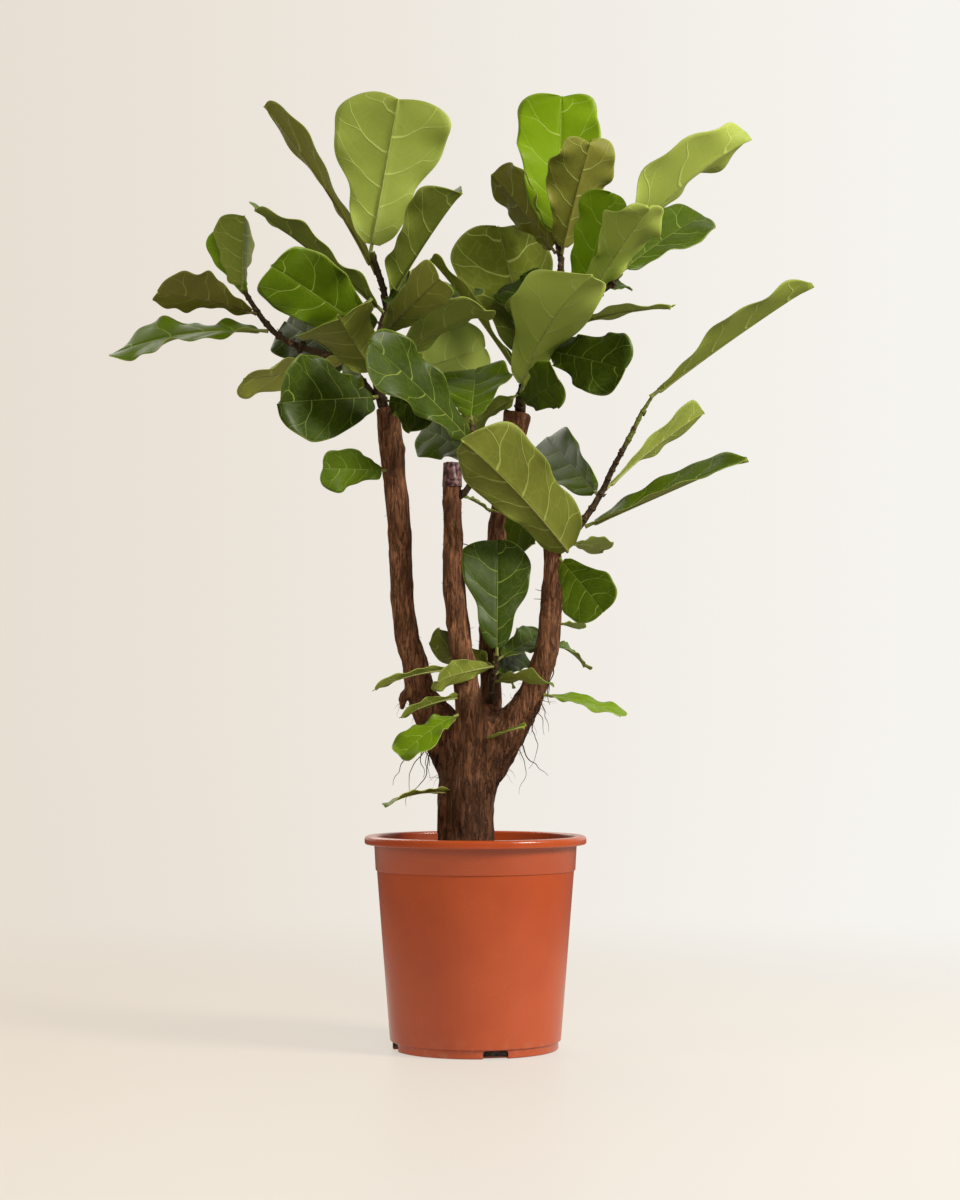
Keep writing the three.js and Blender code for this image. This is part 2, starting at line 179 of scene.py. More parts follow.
def slice_centre(node, height):
    """Centre and radius of a frame solid where a level plane cuts it."""
    bm = merged_copy(node)
    cuts = []
    for edge in bm.edges:
        low, high = sorted((vert.co for vert in edge.verts), key=lambda co: co.z)
        if low.z <= height < high.z:
            cuts.append(low.lerp(high, (height - low.z) / (high.z - low.z)))
    bm.free()
    centre = sum(cuts, Vector()) / len(cuts)
    return centre, sum((cut - centre).length for cut in cuts) / len(cuts)


def object_from(name, bm):
    mesh = bpy.data.meshes.new(name)
    bm.to_mesh(mesh)
    bm.free()
    made = bpy.data.objects.new(name, mesh)
    bpy.context.scene.collection.objects.link(made)
    return made


def smooth_faces(piece):
    for face in piece.data.polygons:
        face.use_smooth = True


def finish_piece(name, bm, materials, replaced=()):
    piece = object_from(name, bm)
    for material in materials:
        piece.data.materials.append(material)
    smooth_faces(piece)
    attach(piece, "root")
    if replaced:
        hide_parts(*replaced)
    return piece


def apply_modifier(piece, kind, **settings):
    """Gives the piece the mesh that a modifier makes of it."""
    modifier = piece.modifiers.new(kind.lower(), kind)
    for name, value in settings.items():
        setattr(modifier, name, value)
    graph = bpy.context.evaluated_depsgraph_get()
    mesh = bpy.data.meshes.new_from_object(piece.evaluated_get(graph), depsgraph=graph)
    piece.modifiers.clear()
    old = piece.data
    mesh.name = old.name
    piece.data = mesh
    bpy.data.meshes.remove(old)


def smooth_between(knots, values, share):
    """A smooth curve through the values at their knots, going on straight past both ends."""
    last = len(knots) - 1
    index = 0
    while index < last - 1 and share > knots[index + 1]:
        index += 1
    before, after = max(index - 1, 0), min(index + 2, last)
    span = knots[index + 1] - knots[index]
    t = (share - knots[index]) / span
    start = (values[index + 1] - values[before]) * (span / (knots[index + 1] - knots[before]))
    stop = (values[after] - values[index]) * (span / (knots[after] - knots[index]))
    if t < 0 or t > 1:
        edge, slope = (values[index], start) if t < 0 else (values[index + 1], stop)
        return edge + slope * (t if t < 0 else t - 1)
    square, cube = t * t, t * t * t
    return (values[index] * (2 * cube - 3 * square + 1) + start * (cube - 2 * square + t)
            + values[index + 1] * (3 * square - 2 * cube) + stop * (cube - square))


def add_tube(bm, points, radii, sides=8, rows=None, material=0):
    """Rolls a grid into a tube along the points, with a radius at each point."""
    count = len(points)
    rows = rows or (count - 1) * 3
    knots = [i / (count - 1) for i in range(count)]
    grid = bmesh.ops.create_grid(bm, x_segments=sides, y_segments=rows, size=1)["verts"]
    across = Vector((1, 0, 0)) if abs((points[-1] - points[0]).normalized().x) < 0.8 else Vector((0, 1, 0))
    for vert in grid:
        angle = math.pi * vert.co.x
        share = (vert.co.y + 1) / 2
        centre = smooth_between(knots, points, share)
        ahead = (smooth_between(knots, points, share + 0.02)
                 - smooth_between(knots, points, share - 0.02)).normalized()
        side = (across - ahead * across.dot(ahead)).normalized()
        radius = smooth_between(knots, radii, share)
        vert.co = centre + (side * math.cos(angle) + ahead.cross(side) * math.sin(angle)) * radius
    faces = list({face for vert in grid for face in vert.link_faces})
    for face in faces:
        face.material_index = material
    bmesh.ops.remove_doubles(bm, verts=grid, dist=1e-7)
    grid = [vert for vert in grid if vert.is_valid]
    rim = list({edge for vert in grid for edge in vert.link_edges if edge.is_boundary})
    caps = bmesh.ops.holes_fill(bm, edges=rim, sides=0)["faces"]
    for face in caps:
        face.material_index = material


# %% [markdown]
# ## Leaf finish
# A fig leaf is dark and waxy above, with pale veins, and matt and lighter below, where the veins
# stand out. The veins could be painted on an image for each leaf. Here they are drawn by
# arithmetic from the leaf's own UV map, so that they stay sharp at any size. The map's second
# axis is warped so that each side vein runs along a line of equal value. One shared group turns
# that into masks: side veins that fork near the margin, a pale line along the margin itself,
# the midrib, the fine net, and the pillows between the veins. Both sides of the leaf use it.

# %% Leaf veins
VEIN_PAIRS = 5
STAGGER = 0.4  # how far the veins of one half are set off from those of the other
VEIN_WANDER = 0.22
FORK_SPREAD = 0.30
MARGIN_LINE = 0.55


def make_vein_group():
    group, given, result = new_group(
        "leaf veins", [("Width", SCALAR)],
        [("Veins", SCALAR), ("Midrib", SCALAR), ("Net", SCALAR), ("Pillow", SCALAR)])
    uv = add_node(group, "ShaderNodeUVMap", uv_map="leaf").outputs[0]
    parts = add_node(group, "ShaderNodeSeparateXYZ", {0: uv})
    across = maths(group, "MULTIPLY_ADD", parts.outputs[0], 2.0, -1.0)
    along = parts.outputs[1]
    reach = maths(group, "ABSOLUTE", across)

    def line(distance, width, soft_from):
        widths_away = maths(group, "DIVIDE", distance, width)
        return maths(group, "SUBTRACT", 1.0, ramp(group, widths_away, soft_from, 1.4))

    stagger = maths(group, "MULTIPLY", maths(group, "GREATER_THAN", across, 0.0), STAGGER)
    wander = maths(group, "SUBTRACT", noise_pattern(group, uv, 5.0, 2.0), 0.5)
    wander = maths(group, "MULTIPLY", wander, VEIN_WANDER)
    beat = maths(group, "MULTIPLY", along, float(VEIN_PAIRS))
    beat = maths(group, "ADD", maths(group, "ADD", beat, stagger), wander)
    wave = maths(group, "PINGPONG", beat, 0.5)
    fork = ramp(group, reach, 0.55, 1.0, 0.0, FORK_SPREAD)
    apart = maths(group, "ABSOLUTE", maths(group, "SUBTRACT", wave, fork))
    width = maths(group, "MULTIPLY", given["Width"], ramp(group, reach, 0.0, 0.95, 1.0, 0.40))
    veins = maths(group, "MULTIPLY", line(apart, width, 0.4), ramp(group, along, 0.02, 0.14))
    veins = maths(group, "MAXIMUM", veins, ramp(group, reach, 0.955, 0.985, 0.0, MARGIN_LINE))
    taper = maths(group, "MULTIPLY", given["Width"], ramp(group, along, 0.0, 1.0, 0.85, 0.30))
    midrib = line(reach, taper, 0.6)
    stretch = add_node(group, "ShaderNodeMapping", {"Vector": uv, "Scale": (8.0, 15.0, 1.0)})
    inputs = {"Vector": stretch.outputs[0], "Scale": 1.0, "Randomness": 0.9}
    cells = add_node(group, "ShaderNodeTexVoronoi", inputs, feature="DISTANCE_TO_EDGE")
    net = maths(group, "SUBTRACT", 1.0, ramp(group, cells.outputs[0], 0.01, 0.08))
    net = maths(group, "MULTIPLY", net, ramp(group, along, 0.05, 0.25))
    pillow = ramp(group, wave, 0.0, 0.4)
    for name, socket in (("Veins", veins), ("Midrib", midrib), ("Net", net), ("Pillow", pillow)):
        group.links.new(socket, result[name])
    return group


VEIN_GROUP = make_vein_group()
print("sockets of the vein group:", [item.name for item in VEIN_GROUP.interface.items_tree])

# %% Leaf materials
UPPER_OLD, UPPER_YOUNG = (0.024, 0.042, 0.0010), (0.200, 0.330, 0.002)
UNDER_OLD, UNDER_YOUNG = (0.098, 0.115, 0.005), (0.420, 0.505, 0.088)
VEIN_UPPER, VEIN_UNDER = (0.360, 0.460, 0.080), (0.500, 0.560, 0.150)
OLIVE_UPPER, OLIVE_UNDER = (0.120, 0.115, 0.008), (0.210, 0.160, 0.022)
STALK_OLD, STALK_YOUNG = (0.170, 0.190, 0.030), (0.420, 0.460, 0.120)
RIB_BROWN = (0.130, 0.080, 0.022)
MOTTLE = 0.30
FLECK_SHARE = 0.25


def leaf_side(name, old, young, olive, vein_colour, vein_width, vein_share, net_share, rough, relief):
    material, tree, shader = new_material(name, Roughness=rough)
    veins = add_node(tree, "ShaderNodeGroup", {}, node_tree=VEIN_GROUP)
    veins.inputs["Width"].default_value = vein_width
    tone, warm, place = point_value(tree, "tone"), point_value(tree, "warm"), object_place(tree)
    clouds = noise_pattern(tree, place, 14.0, 4.0)
    mottle = maths(tree, "MULTIPLY", maths(tree, "SUBTRACT", clouds, 0.5), MOTTLE)
    colour = blend_colours(tree, maths(tree, "ADD", tone, mottle, clamp=True), old, young)
    colour = blend_colours(tree, warm, colour, olive)
    net = maths(tree, "MULTIPLY", veins.outputs["Net"], net_share)
    colour = blend_colours(tree, net, colour, vein_colour)
    lines = maths(tree, "MAXIMUM", veins.outputs["Veins"], veins.outputs["Midrib"])
    paler_when_young = maths(tree, "MULTIPLY_ADD", tone, 0.5, 0.5)
    shown = maths(tree, "MULTIPLY", maths(tree, "MULTIPLY", lines, vein_share), paler_when_young)
    colour = blend_colours(tree, shown, colour, vein_colour)
    flecks = ramp(tree, noise_pattern(tree, place, 150.0, 2.0), 0.68, 0.76)
    colour = blend_colours(tree, maths(tree, "MULTIPLY", flecks, FLECK_SHARE), colour, RIB_BROWN)
    tree.links.new(colour, shader.inputs["Base Color"])
    gloss = maths(tree, "MULTIPLY_ADD", clouds, 0.2, rough - 0.1)
    tree.links.new(gloss, shader.inputs["Roughness"])
    pillow = maths(tree, "MULTIPLY", veins.outputs["Pillow"], 0.4)
    bump(tree, shader, maths(tree, "ADD", maths(tree, "MULTIPLY", lines, relief), pillow), 0.5, 1.0 * MM)
    shader.inputs["Subsurface Weight"].default_value = 0.12
    shader.inputs["Subsurface Radius"].default_value = (0.6, 1.0, 0.1)
    shader.inputs["Subsurface Scale"].default_value = 3.0 * MM
    return material, shader


def make_stalk_material():
    stalk, tree, shader = new_material("leaf_stalk", Roughness=0.5)
    grain = noise_pattern(tree, object_place(tree), 90.0, 4.0)
    green = blend_colours(tree, point_value(tree, "tone"), STALK_OLD, STALK_YOUNG)
    streaks = ramp(tree, grain, 0.35, 0.65, -0.05, 0.35)
    brown = maths(tree, "ADD", streaks, point_value(tree, "warm"), clamp=True)
    tree.links.new(blend_colours(tree, brown, green, RIB_BROWN), shader.inputs["Base Color"])
    bump(tree, shader, grain, 0.3, 0.5 * MM)
    return stalk


def make_leaf_materials():
    upper, shader = leaf_side(
        "leaf_upper", UPPER_OLD, UPPER_YOUNG, OLIVE_UPPER, VEIN_UPPER,
        vein_width=0.024, vein_share=0.85, net_share=0.05, rough=0.50, relief=-0.6)
    shader.inputs["Specular IOR Level"].default_value = 0.22
    shader.inputs["Coat Weight"].default_value = 0.06
    shader.inputs["Coat Roughness"].default_value = 0.25
    under, shader = leaf_side(
        "leaf_under", UNDER_OLD, UNDER_YOUNG, OLIVE_UNDER, VEIN_UNDER,
        vein_width=0.036, vein_share=0.75, net_share=0.06, rough=0.62, relief=1.6)
    shader.inputs["Specular IOR Level"].default_value = 0.25
    return [upper, under, make_stalk_material()]


LEAF_MATERIALS = make_leaf_materials()
print("leaf materials:", [material.name for material in LEAF_MATERIALS])

# %% [markdown]
# ## Reading a leaf from the frame
# Each leaf solid is a six-sided tube: round at the stalk and pressed flat into the blade. A fine
# leaf could be drawn by hand on each one, but it is safer to read the solid, because then the
# two can't drift apart. The walk starts at the stalk's heel and goes out one ring at a time. In
# a blade ring the two corners that are farthest apart are the margins, and the corner that joins
# both of them is the top of the midrib. That gives the line, the width and the facing that the
# fine leaf follows. The blade's foot is drawn a little way down the stalk, because a real blade
# has small ears there.

# %% Read a leaf
STALK_BARE = 0.25  # the blade starts this share of the way along the stalk's last stretch


def rings_of(node):
    """The solid's rings of points, from the stalk's heel to the blade's tip."""
    bm = merged_copy(node)
    heel = min(bm.verts, key=lambda vert: max(edge.calc_length() for edge in vert.link_edges))
    rings, seen, level = [], {heel}, [heel]
    while level:
        rings.append(level)
        beyond = {edge.other_vert(vert) for vert in level for edge in vert.link_edges} - seen
        seen |= beyond
        level = list(beyond)
    return bm, rings


def read_leaf(node):
    """The guide of a leaf: its stalk, its midrib, and the directions and width of its blade."""
    bm, rings = rings_of(node)
    stalk = [sum((vert.co for vert in ring), Vector()) / len(ring) for ring in rings[:3]]
    middle, sides, ups, halves, lifts = [], [], [], [], []
    for ring in rings[3:-1]:
        pairs = [(a, b) for i, a in enumerate(ring) for b in ring[i + 1:]]
        left, right = max(pairs, key=lambda pair: (pair[0].co - pair[1].co).length)
        joins = [vert for vert in ring if vert not in (left, right)]
        linked = {vert: {edge.other_vert(vert) for edge in vert.link_edges} for vert in joins}
        top = next(vert for vert in joins if {left, right} <= linked[vert])
        low = next(vert for vert in joins if not {left, right} & linked[vert])
        up = (top.co - low.co).normalized()
        middle.append(top.co.copy())
        ups.append(up)
        sides.append((right.co - left.co).normalized())
        halves.append((right.co - left.co).length / 2)
        lifts.append(((left.co + right.co) / 2 - top.co).dot(up))
    middle.append(rings[-1][0].co.copy())
    bm.free()
    for i, side in enumerate(sides):
        ahead = middle[i + 1] - middle[i]
        if ahead.cross(ups[i]).dot(side) < 0:
            sides[i] = -side
    widest = max(range(len(halves)), key=lambda i: halves[i])
    throat = stalk[1].lerp(stalk[2], STALK_BARE)
    return {"stalk": [stalk[0], stalk[1], throat], "middle": [throat] + middle,
            "sides": sides[:1] + sides + sides[-1:], "ups": ups[:1] + ups + ups[-1:],
            "half": halves[widest], "fold": lifts[widest] / halves[widest]}


LEAF_NODES = sorted(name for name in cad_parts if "_leaf_" in name)
print("leaves read from the frame:", len(LEAF_NODES))

# %% [markdown]
# ## Building a leaf
# A blade could be a flat outline that is cut up afterwards, but then its faces would run across
# the veins. Here a grid is bent onto the leaf's own line. Its rows don't run straight across:
# they sweep forward from the midrib to the margin, as the side veins do, so the raised pillows
# between the veins follow real rows of vertices. The outline is narrow near the stalk, broad
# near the tip and rounded at the end, and slow waves run along the margin. Solidify then gives
# the blade a leathery thickness, with one finish above and another below, and the midrib is a
# tapered rod under the blade. The chance numbers come from the leaf's name, and a leaf whose
# shape is well known has some of them listed.

# %% Build a leaf
ROWS = [0, 0.08, 0.18, 0.30, 0.42, 0.54, 0.66, 0.76, 0.85, 0.93, 1]
ROW_AT_MIDRIB = [0, 0.02, 0.07, 0.15, 0.27, 0.39, 0.52, 0.64, 0.77, 0.89, 1]
ROW_AT_MARGIN = [0, 0.07, 0.19, 0.34, 0.50, 0.65, 0.78, 0.88, 0.95, 0.99, 1]
ROW_WIDTH = [0.14, 0.36, 0.50, 0.64, 0.83, 0.97, 1.0, 0.92, 0.73, 0.43, 0.05]
BLADE_ROWS = 50
BLADE_COLUMNS = 24
BLADE_THICKNESS = 1.0 * MM
PILLOW_HEIGHT = 0.015  # of the blade's half width, as is the valley along the midrib
VALLEY_DEPTH = 0.02
RIB_ROWS = (0.06, 0.25, 0.45, 0.65, 0.83, 0.94)

# What is known of a leaf's shape. left and right scale the widths of its two halves, and
# fold_left and fold_right lift their margins. ripple is the height of the waves and twist the
# turn from end to end. notch draws the tip in, or out below 0, sweep bends the blade sideways,
# foot and tip widen its ends, or narrow them below 0, and shift moves the foot by millimetres
# while the tip stays.
SHAPES = {
    "left_leaf_1": {"left": 0.95, "right": 0.98, "notch": 0.045, "fold_left": 0.0, "fold_right": 0.15,
                    "ripple": 0.07},
    "left_leaf_2": {"left": 0.8, "right": 0.7, "ripple": 0.05},
    "left_leaf_3": {"left": 0.55, "right": 0.85, "fold_left": 0.9, "fold_right": 0.1, "notch": -0.03},
    "left_leaf_6": {"fold_left": 0.3, "fold_right": 0.2},
    "left_leaf_8": {"notch": -0.05, "twist": 0.3},
    "middle_leaf_4": {"left": 0.72, "right": 0.42, "fold_right": 0.25, "fold_left": 0.0, "notch": -0.03,
                      "sweep": 0.09, "twist": 0.0, "ripple": 0.05, "foot": 1.0, "tip": -0.3,
                      "shift": (4, 0, -36)},
    "middle_leaf_5": {"ripple": 0.05, "twist": 0.0},
    "middle_leaf_6": {"left": 1.15, "right": 0.62, "twist": 0.0, "ripple": 0.05, "notch": -0.03,
                      "fold_left": 0.0, "fold_right": 0.0},
    "middle_leaf_7": {"ripple": 0.05, "notch": 0.0, "twist": 0.1},
    "back_leaf_1": {"ripple": 0.11, "notch": 0.03, "left": 1.05, "right": 0.95},
    "back_leaf_4": {"notch": 0.04, "left": 1.0, "right": 1.05, "ripple": 0.05},
    "back_leaf_7": {"left": 0.75, "right": 1.05, "fold_left": 0.35, "notch": -0.04, "tip": -0.2},
    "back_leaf_10": {"left": 0.72, "right": 0.95, "fold_left": 0.25, "sweep": -0.20, "notch": -0.06,
                     "ripple": 0.07, "tip": -0.2},
    "right_leaf_1": {"left": 0.75, "right": 0.55, "fold_left": 0.2, "fold_right": 0.3, "notch": -0.06,
                     "ripple": 0.06, "foot": 0.9, "tip": -0.45},
    "right_leaf_2": {"left": 0.8, "right": 0.8, "notch": -0.05, "ripple": 0.06},
    "right_leaf_3": {"ripple": 0.08, "left": 0.6, "right": 0.8, "fold_left": 0.5, "fold_right": 0.1,
                     "notch": -0.05},
}


def blade_places(guide, name):
    dice = random.Random(name)
    knots = [0.0]
    for a, b in zip(guide["middle"], guide["middle"][1:]):
        knots.append(knots[-1] + (b - a).length)
    length = knots[-1]
    knots = [knot / length for knot in knots]
    # Six draws, of which three are used, keep each leaf's later numbers in their order.
    turn_right, turn_left, flutter = [dice.uniform(0, 6.28) for _ in range(6)][:3]
    slow_beat, quick_beat = dice.uniform(1.4, 2.4), dice.uniform(3.2, 4.8)
    shape = SHAPES.get(name.removeprefix("fig_"), {})
    half = guide["half"]
    ripple = shape.get("ripple", dice.uniform(0.07, 0.16)) * half
    sweep = shape.get("sweep", 0.0) * length
    lean = dice.uniform(-0.08, 0.08)
    halves = {False: shape.get("left", 1 - lean), True: shape.get("right", 1 + lean)}
    foot, tip = shape.get("foot", 0.0), shape.get("tip", 0.0)
    shift = Vector(shape.get("shift", (0, 0, 0))) * MM
    uneven = dice.uniform(-0.22, 0.22)
    folds = {False: guide["fold"] + shape.get("fold_left", -uneven),
             True: guide["fold"] + shape.get("fold_right", uneven)}
    notch = shape.get("notch", dice.choice((-0.02, 0.0, 0.03, 0.05)))
    twist = shape.get("twist", dice.uniform(-0.35, 0.35))

    def place(row, across):
        """A point of the blade and its up direction. across goes from -1 to 1 over the blade."""
        reach, on_right = abs(across), across > 0
        turn = turn_right if on_right else turn_left
        at_midrib = smooth_between(ROWS, ROW_AT_MIDRIB, row)
        at_margin = smooth_between(ROWS, ROW_AT_MARGIN, row)
        share = at_midrib + (at_margin - at_midrib) * reach ** 1.35
        share -= notch * row ** 14
        slow_wave, quick_wave = math.sin(8 * share + flutter + turn), math.sin(19 * share + turn)
        wobble = 1 + (0.09 * slow_wave + 0.045 * quick_wave) * reach
        width = half * smooth_between(ROWS, ROW_WIDTH, row) * wobble * halves[on_right]
        width *= 1 + foot * (1 - row) ** 2 + tip * row ** 4
        inside = min(max(share, 0), 1)
        centre = smooth_between(knots, guide["middle"], share)
        side = smooth_between(knots, guide["sides"], inside).normalized()
        up = smooth_between(knots, guide["ups"], inside).normalized()
        roll = twist * (inside - 0.45)
        side, up = side * math.cos(roll) + up * math.sin(roll), up * math.cos(roll) - side * math.sin(roll)
        lift = folds[on_right] * width * reach ** 1.3
        lift += ripple * reach ** 2 * math.sin(2 * math.pi * slow_beat * share + turn)
        lift += 0.6 * ripple * reach ** 3 * math.sin(2 * math.pi * quick_beat * share - turn)
        wave = (row * VEIN_PAIRS + (STAGGER if on_right else 0)) % 1
        fullness = math.sin(math.pi * wave) * math.sin(math.pi * min(reach, 1)) ** 0.7 if reach < 1 else 0
        lift += PILLOW_HEIGHT * half * fullness * min(1.0, 6 * (1 - row))
        lift -= VALLEY_DEPTH * half * math.exp(-(reach / 0.05) ** 2)
        sideways = across * width + sweep * share * share
        return centre + shift * (1 - inside) + side * sideways + up * lift, up

    return place, length, shift


def bend_blade(bm, place):
    uv = bm.loops.layers.uv.new("leaf")
    grid = bmesh.ops.create_grid(bm, x_segments=BLADE_COLUMNS, y_segments=BLADE_ROWS, size=1)["verts"]
    for face in bm.faces:
        for loop in face.loops:
            loop[uv].uv = ((loop.vert.co.x + 1) / 2, (loop.vert.co.y + 1) / 2)
    ups = {}
    for vert in grid:
        spread = math.copysign(abs(vert.co.x) ** 1.1, vert.co.x)
        vert.co, ups[vert] = place((vert.co.y + 1) / 2, spread)
    bm.normal_update()
    blade = list(bm.faces)
    facing_up = sum(face.normal.dot(ups[face.verts[0]]) * face.calc_area() for face in blade) > 0
    blade_side, shell_side = (0, 1) if facing_up else (1, 0)
    bmesh.ops.solidify(bm, geom=blade, thickness=BLADE_THICKNESS)
    first = set(blade)
    for face in bm.faces:
        face.material_index = blade_side if face in first else shell_side


def add_stalk(bm, guide, place, length, shift):
    heel, neck, throat = guide["stalk"]
    rod = [heel + (heel - neck).normalized() * 4 * MM, neck + shift * 0.5, throat + shift]
    thick = (1.5 + length * 6.2) * MM
    radii = [thick * 1.2, thick, thick * 0.95]
    for row in RIB_ROWS:
        spot, up = place(row, 0.0)
        radius = thick * (0.85 - 0.75 * row)
        rod.append(spot - up * (radius * 0.45 + BLADE_THICKNESS * 0.6))
        radii.append(radius)
    add_tube(bm, rod, radii, sides=8, rows=26, material=2)


def build_leaf(name, guide, tone, warm, replaced=()):
    bm = bmesh.new()
    place, length, shift = blade_places(guide, name)
    bend_blade(bm, place)
    add_stalk(bm, guide, place, length, shift)
    piece = finish_piece(name, bm, LEAF_MATERIALS, replaced)
    for label, value in (("tone", tone), ("warm", warm)):
        layer = piece.data.attributes.new(label, "FLOAT", "POINT")
        layer.data.foreach_set("value", [value] * len(piece.data.vertices))


# %% [markdown]
# ## The crown's big leaves
# Young leaves are bright and thin, and old ones are dark. Each leaf could have a material of
# its own, but two numbers on its points do the same with one set of materials. Its tone goes from
# 0 (old) to 1 (young), chosen shoot by shoot in the order of the frame's leaves, and a few
# leaves are partly olive brown. The tone is partly painted light: back_leaf_1, which glows with
# light from behind, is set bright to paint that glow, and back_leaf_10 is set paler to paint the
# light that falls on it.

# %% Leaves
# Leaf tones from 0 (old) to 1 (young), partly painted light: the bright tones of back_leaf_1 and
# back_leaf_10 paint the glow of light through and on those leaves.
TONES_BY_AGE_AND_LIGHT = {
    "left_leaf": [0.56, 0.28, 0.24, 0.30, 0.38, 0.24, 0.34, 0.45, 0.75, 0.05, 0.28, 0.03, 0.30,
                  0.75, 0.48, 0.30, 0.50, 0.12],
    "middle_leaf": [0.08, 0.26, 0.18, 0.16, 0.20, 0.22, 0.08],
    "right_leaf": [0.30, 0.45, 0.40],
    "back_leaf": [0.85, 0.30, 0.12, 0.05, 0.03, 0.72, 0.75, 0.85, 0.22, 1.00, 0.06, 0.65, 0.28, 0.34],
    "low_leaf": [0.25, 0.55, 0.80],
}
OLIVE = {"left_leaf_7": 0.6, "left_leaf_9": 0.45, "left_leaf_13": 0.2, "back_leaf_2": 0.45,
         "back_leaf_3": 0.4, "left_leaf_2": 0.4, "left_leaf_17": 0.4, "middle_leaf_4": 0.1}
for node in LEAF_NODES:
    family, number = node.rsplit("_", 1)
    build_leaf("fig_" + node, read_leaf(node), TONES_BY_AGE_AND_LIGHT[family][int(number) - 1], OLIVE.get(node, 0.0), [node])
print("leaves built:", len(LEAF_NODES))

# %% [markdown]
# ## Small leaves
# Between the big leaves sit small ones: young leaves inside the crown, and the sprout's small
# leaves around the fork. They aren't in the frame, so a simple guide takes the place of a solid.
# Each starts from the middle of a stem or shoot at its own height and goes to a tip along an
# arch. Its blade faces up, rolled about its length by a turn.

# %% Small leaves
SMALL_STALK = 0.13  # the share of a small leaf that is bare stalk
STATIONS = 9


def guide_between(base, tip, width, turn, arch, fold):
    """A guide like the one that read_leaf gives, along an arch from base to tip."""
    along = tip - base
    ahead = along.normalized()
    side = ahead.cross(Vector((0, 0, 1))).normalized()
    up = Matrix.Rotation(math.radians(turn), 3, ahead) @ side.cross(ahead)

    def at(share):
        return base + along * share + up * (arch * along.length * 4 * share * (1 - share))

    shares = [SMALL_STALK + (1 - SMALL_STALK) * step / (STATIONS - 1) for step in range(STATIONS)]
    side = ahead.cross(up)
    return {"stalk": [at(0), at(0.07), at(SMALL_STALK)], "middle": [at(share) for share in shares],
            "sides": [side] * STATIONS, "ups": [up] * STATIONS, "half": width / 2, "fold": fold}


SMALL_LEAVES = [
    # grows from, height, tip x, y, z, width, turn, arch, fold, age, olive
    ("shoot_left_branch", 1195, -440, 200, 1331, 42, -60, 0.03, 0.2, 0.80, 0.0),
    ("shoot_left_crown", 1110, -133, -40, 1045, 26, 30, 0.03, 0.3, 0.95, 0.2),
    ("shoot_left_branch", 1092, -184, -60, 1033, 30, 20, 0.03, 0.3, 0.45, 0.3),
    ("shoot_left_crown", 1169, -103, 60, 1240, 46, 60, 0.03, 0.2, 0.08, 0.0),
    ("shoot_left_crown", 1160, -70, 90, 1245, 48, -70, 0.03, 0.2, 0.75, 0.0),
    ("shoot_back_crown", 1060, -77, 60, 1267, 42, 10, 0.02, 0.6, 0.30, 0.3),
    ("shoot_left_crown", 1190, -95, -60, 1165, 60, 40, 0.05, 0.2, 0.10, 0.0),
    ("shoot_left_crown", 1120, -70, 60, 1200, 60, 30, 0.04, 0.3, 0.04, 0.0),
    ("shoot_left_crown", 1145, -230, 40, 1185, 62, 30, 0.05, 0.2, 0.08, 0.0),
    ("shoot_left_crown", 1075, -90, -110, 1075, 46, 20, 0.04, 0.2, 0.30, 0.2),
    ("stem_middle", 876, 26, 60, 850, 40, 20, 0.03, 0.2, 0.35, 0.0),
    ("stem_back", 880, 95, -5, 793, 66, 80, 0.04, 0.2, 0.30, 0.0),
    ("shoot_right", 790, 212, 120, 792, 52, -20, 0.05, 0.2, 0.40, 0.0),
    ("shoot_back_crown", 1195, 238, 20, 1215, 44, 30, 0.04, 0.3, 0.12, 0.0),
    ("shoot_back_crown", 1150, 60, -60, 1190, 70, 60, 0.05, 0.2, 0.06, 0.0),
    ("shoot_low", 600, -72, 70, 640, 62, 75, 0.03, 0.1, 0.06, 0.0),
    ("shoot_low", 575, 112, -130, 575, 44, -25, 0.05, 0.2, 0.35, 0.0),
    ("stem_middle", 596, -157, -130, 562, 36, 25, 0.06, 0.2, 0.30, 0.0),
    ("stem_middle", 554, -112, -125, 522, 40, 35, 0.05, 0.2, 0.15, 0.0),
    ("shoot_low", 585, 78, 90, 630, 58, 60, 0.04, 0.2, 0.08, 0.0),
    ("shoot_low", 608, 112, 60, 655, 60, 40, 0.04, 0.2, 0.12, 0.0),
    ("stem_back", 612, 60, 150, 585, 60, 70, 0.04, 0.2, 0.10, 0.0),
    ("stem_right", 640, 175, 70, 603, 50, 40, 0.06, 0.2, 0.25, 0.0),
    ("stem_right", 665, 168, 60, 663, 36, -10, 0.05, 0.2, 0.55, 0.0),
    ("trunk", 396, -137, -125, 386, 38, 15, 0.08, 0.2, 0.35, 0.2),
    ("trunk", 470, 75, -90, 505, 30, 20, 0.05, 0.2, 0.70, 0.0),
]
for number, (node, height, x, y, z, width, turn, arch, fold, age, olive) in enumerate(SMALL_LEAVES, 1):
    base = slice_centre(node, height * MM)[0]
    guide = guide_between(base, Vector((x, y, z)) * MM, width * MM, turn, arch, fold)
    build_leaf("fig_small_leaf_%d" % number, guide, age, olive)
print("small leaves built:", len(SMALL_LEAVES))

# %% [markdown]
# ## Bark
# Old fig wood is brown and fibrous, split by many fine upright cracks, with paler ridges between
# them and low rings where leaves once sat. It could be a smooth tube with the cracks in its
# finish only, but then the fork would show a crease where five tubes meet. So the trunk and its
# four stems, which grew as one piece, are joined by a voxel remesh, together with a swelling at
# the fork, blunt ridges at the foot and a broken stub. The skin is relaxed until the facets are
# gone, and then pushed in and out by noise that is stretched along the wood. The shoots get the
# same skin at a finer scale. One group holds the grain, and both barks use it.

# %% Bark finish
BARK_STRETCH = 0.16  # the grain is this much coarser along the wood than across it
YOUNG_BARK = (0.190, 0.220, 0.035)
CRACK_SHARE = 0.65


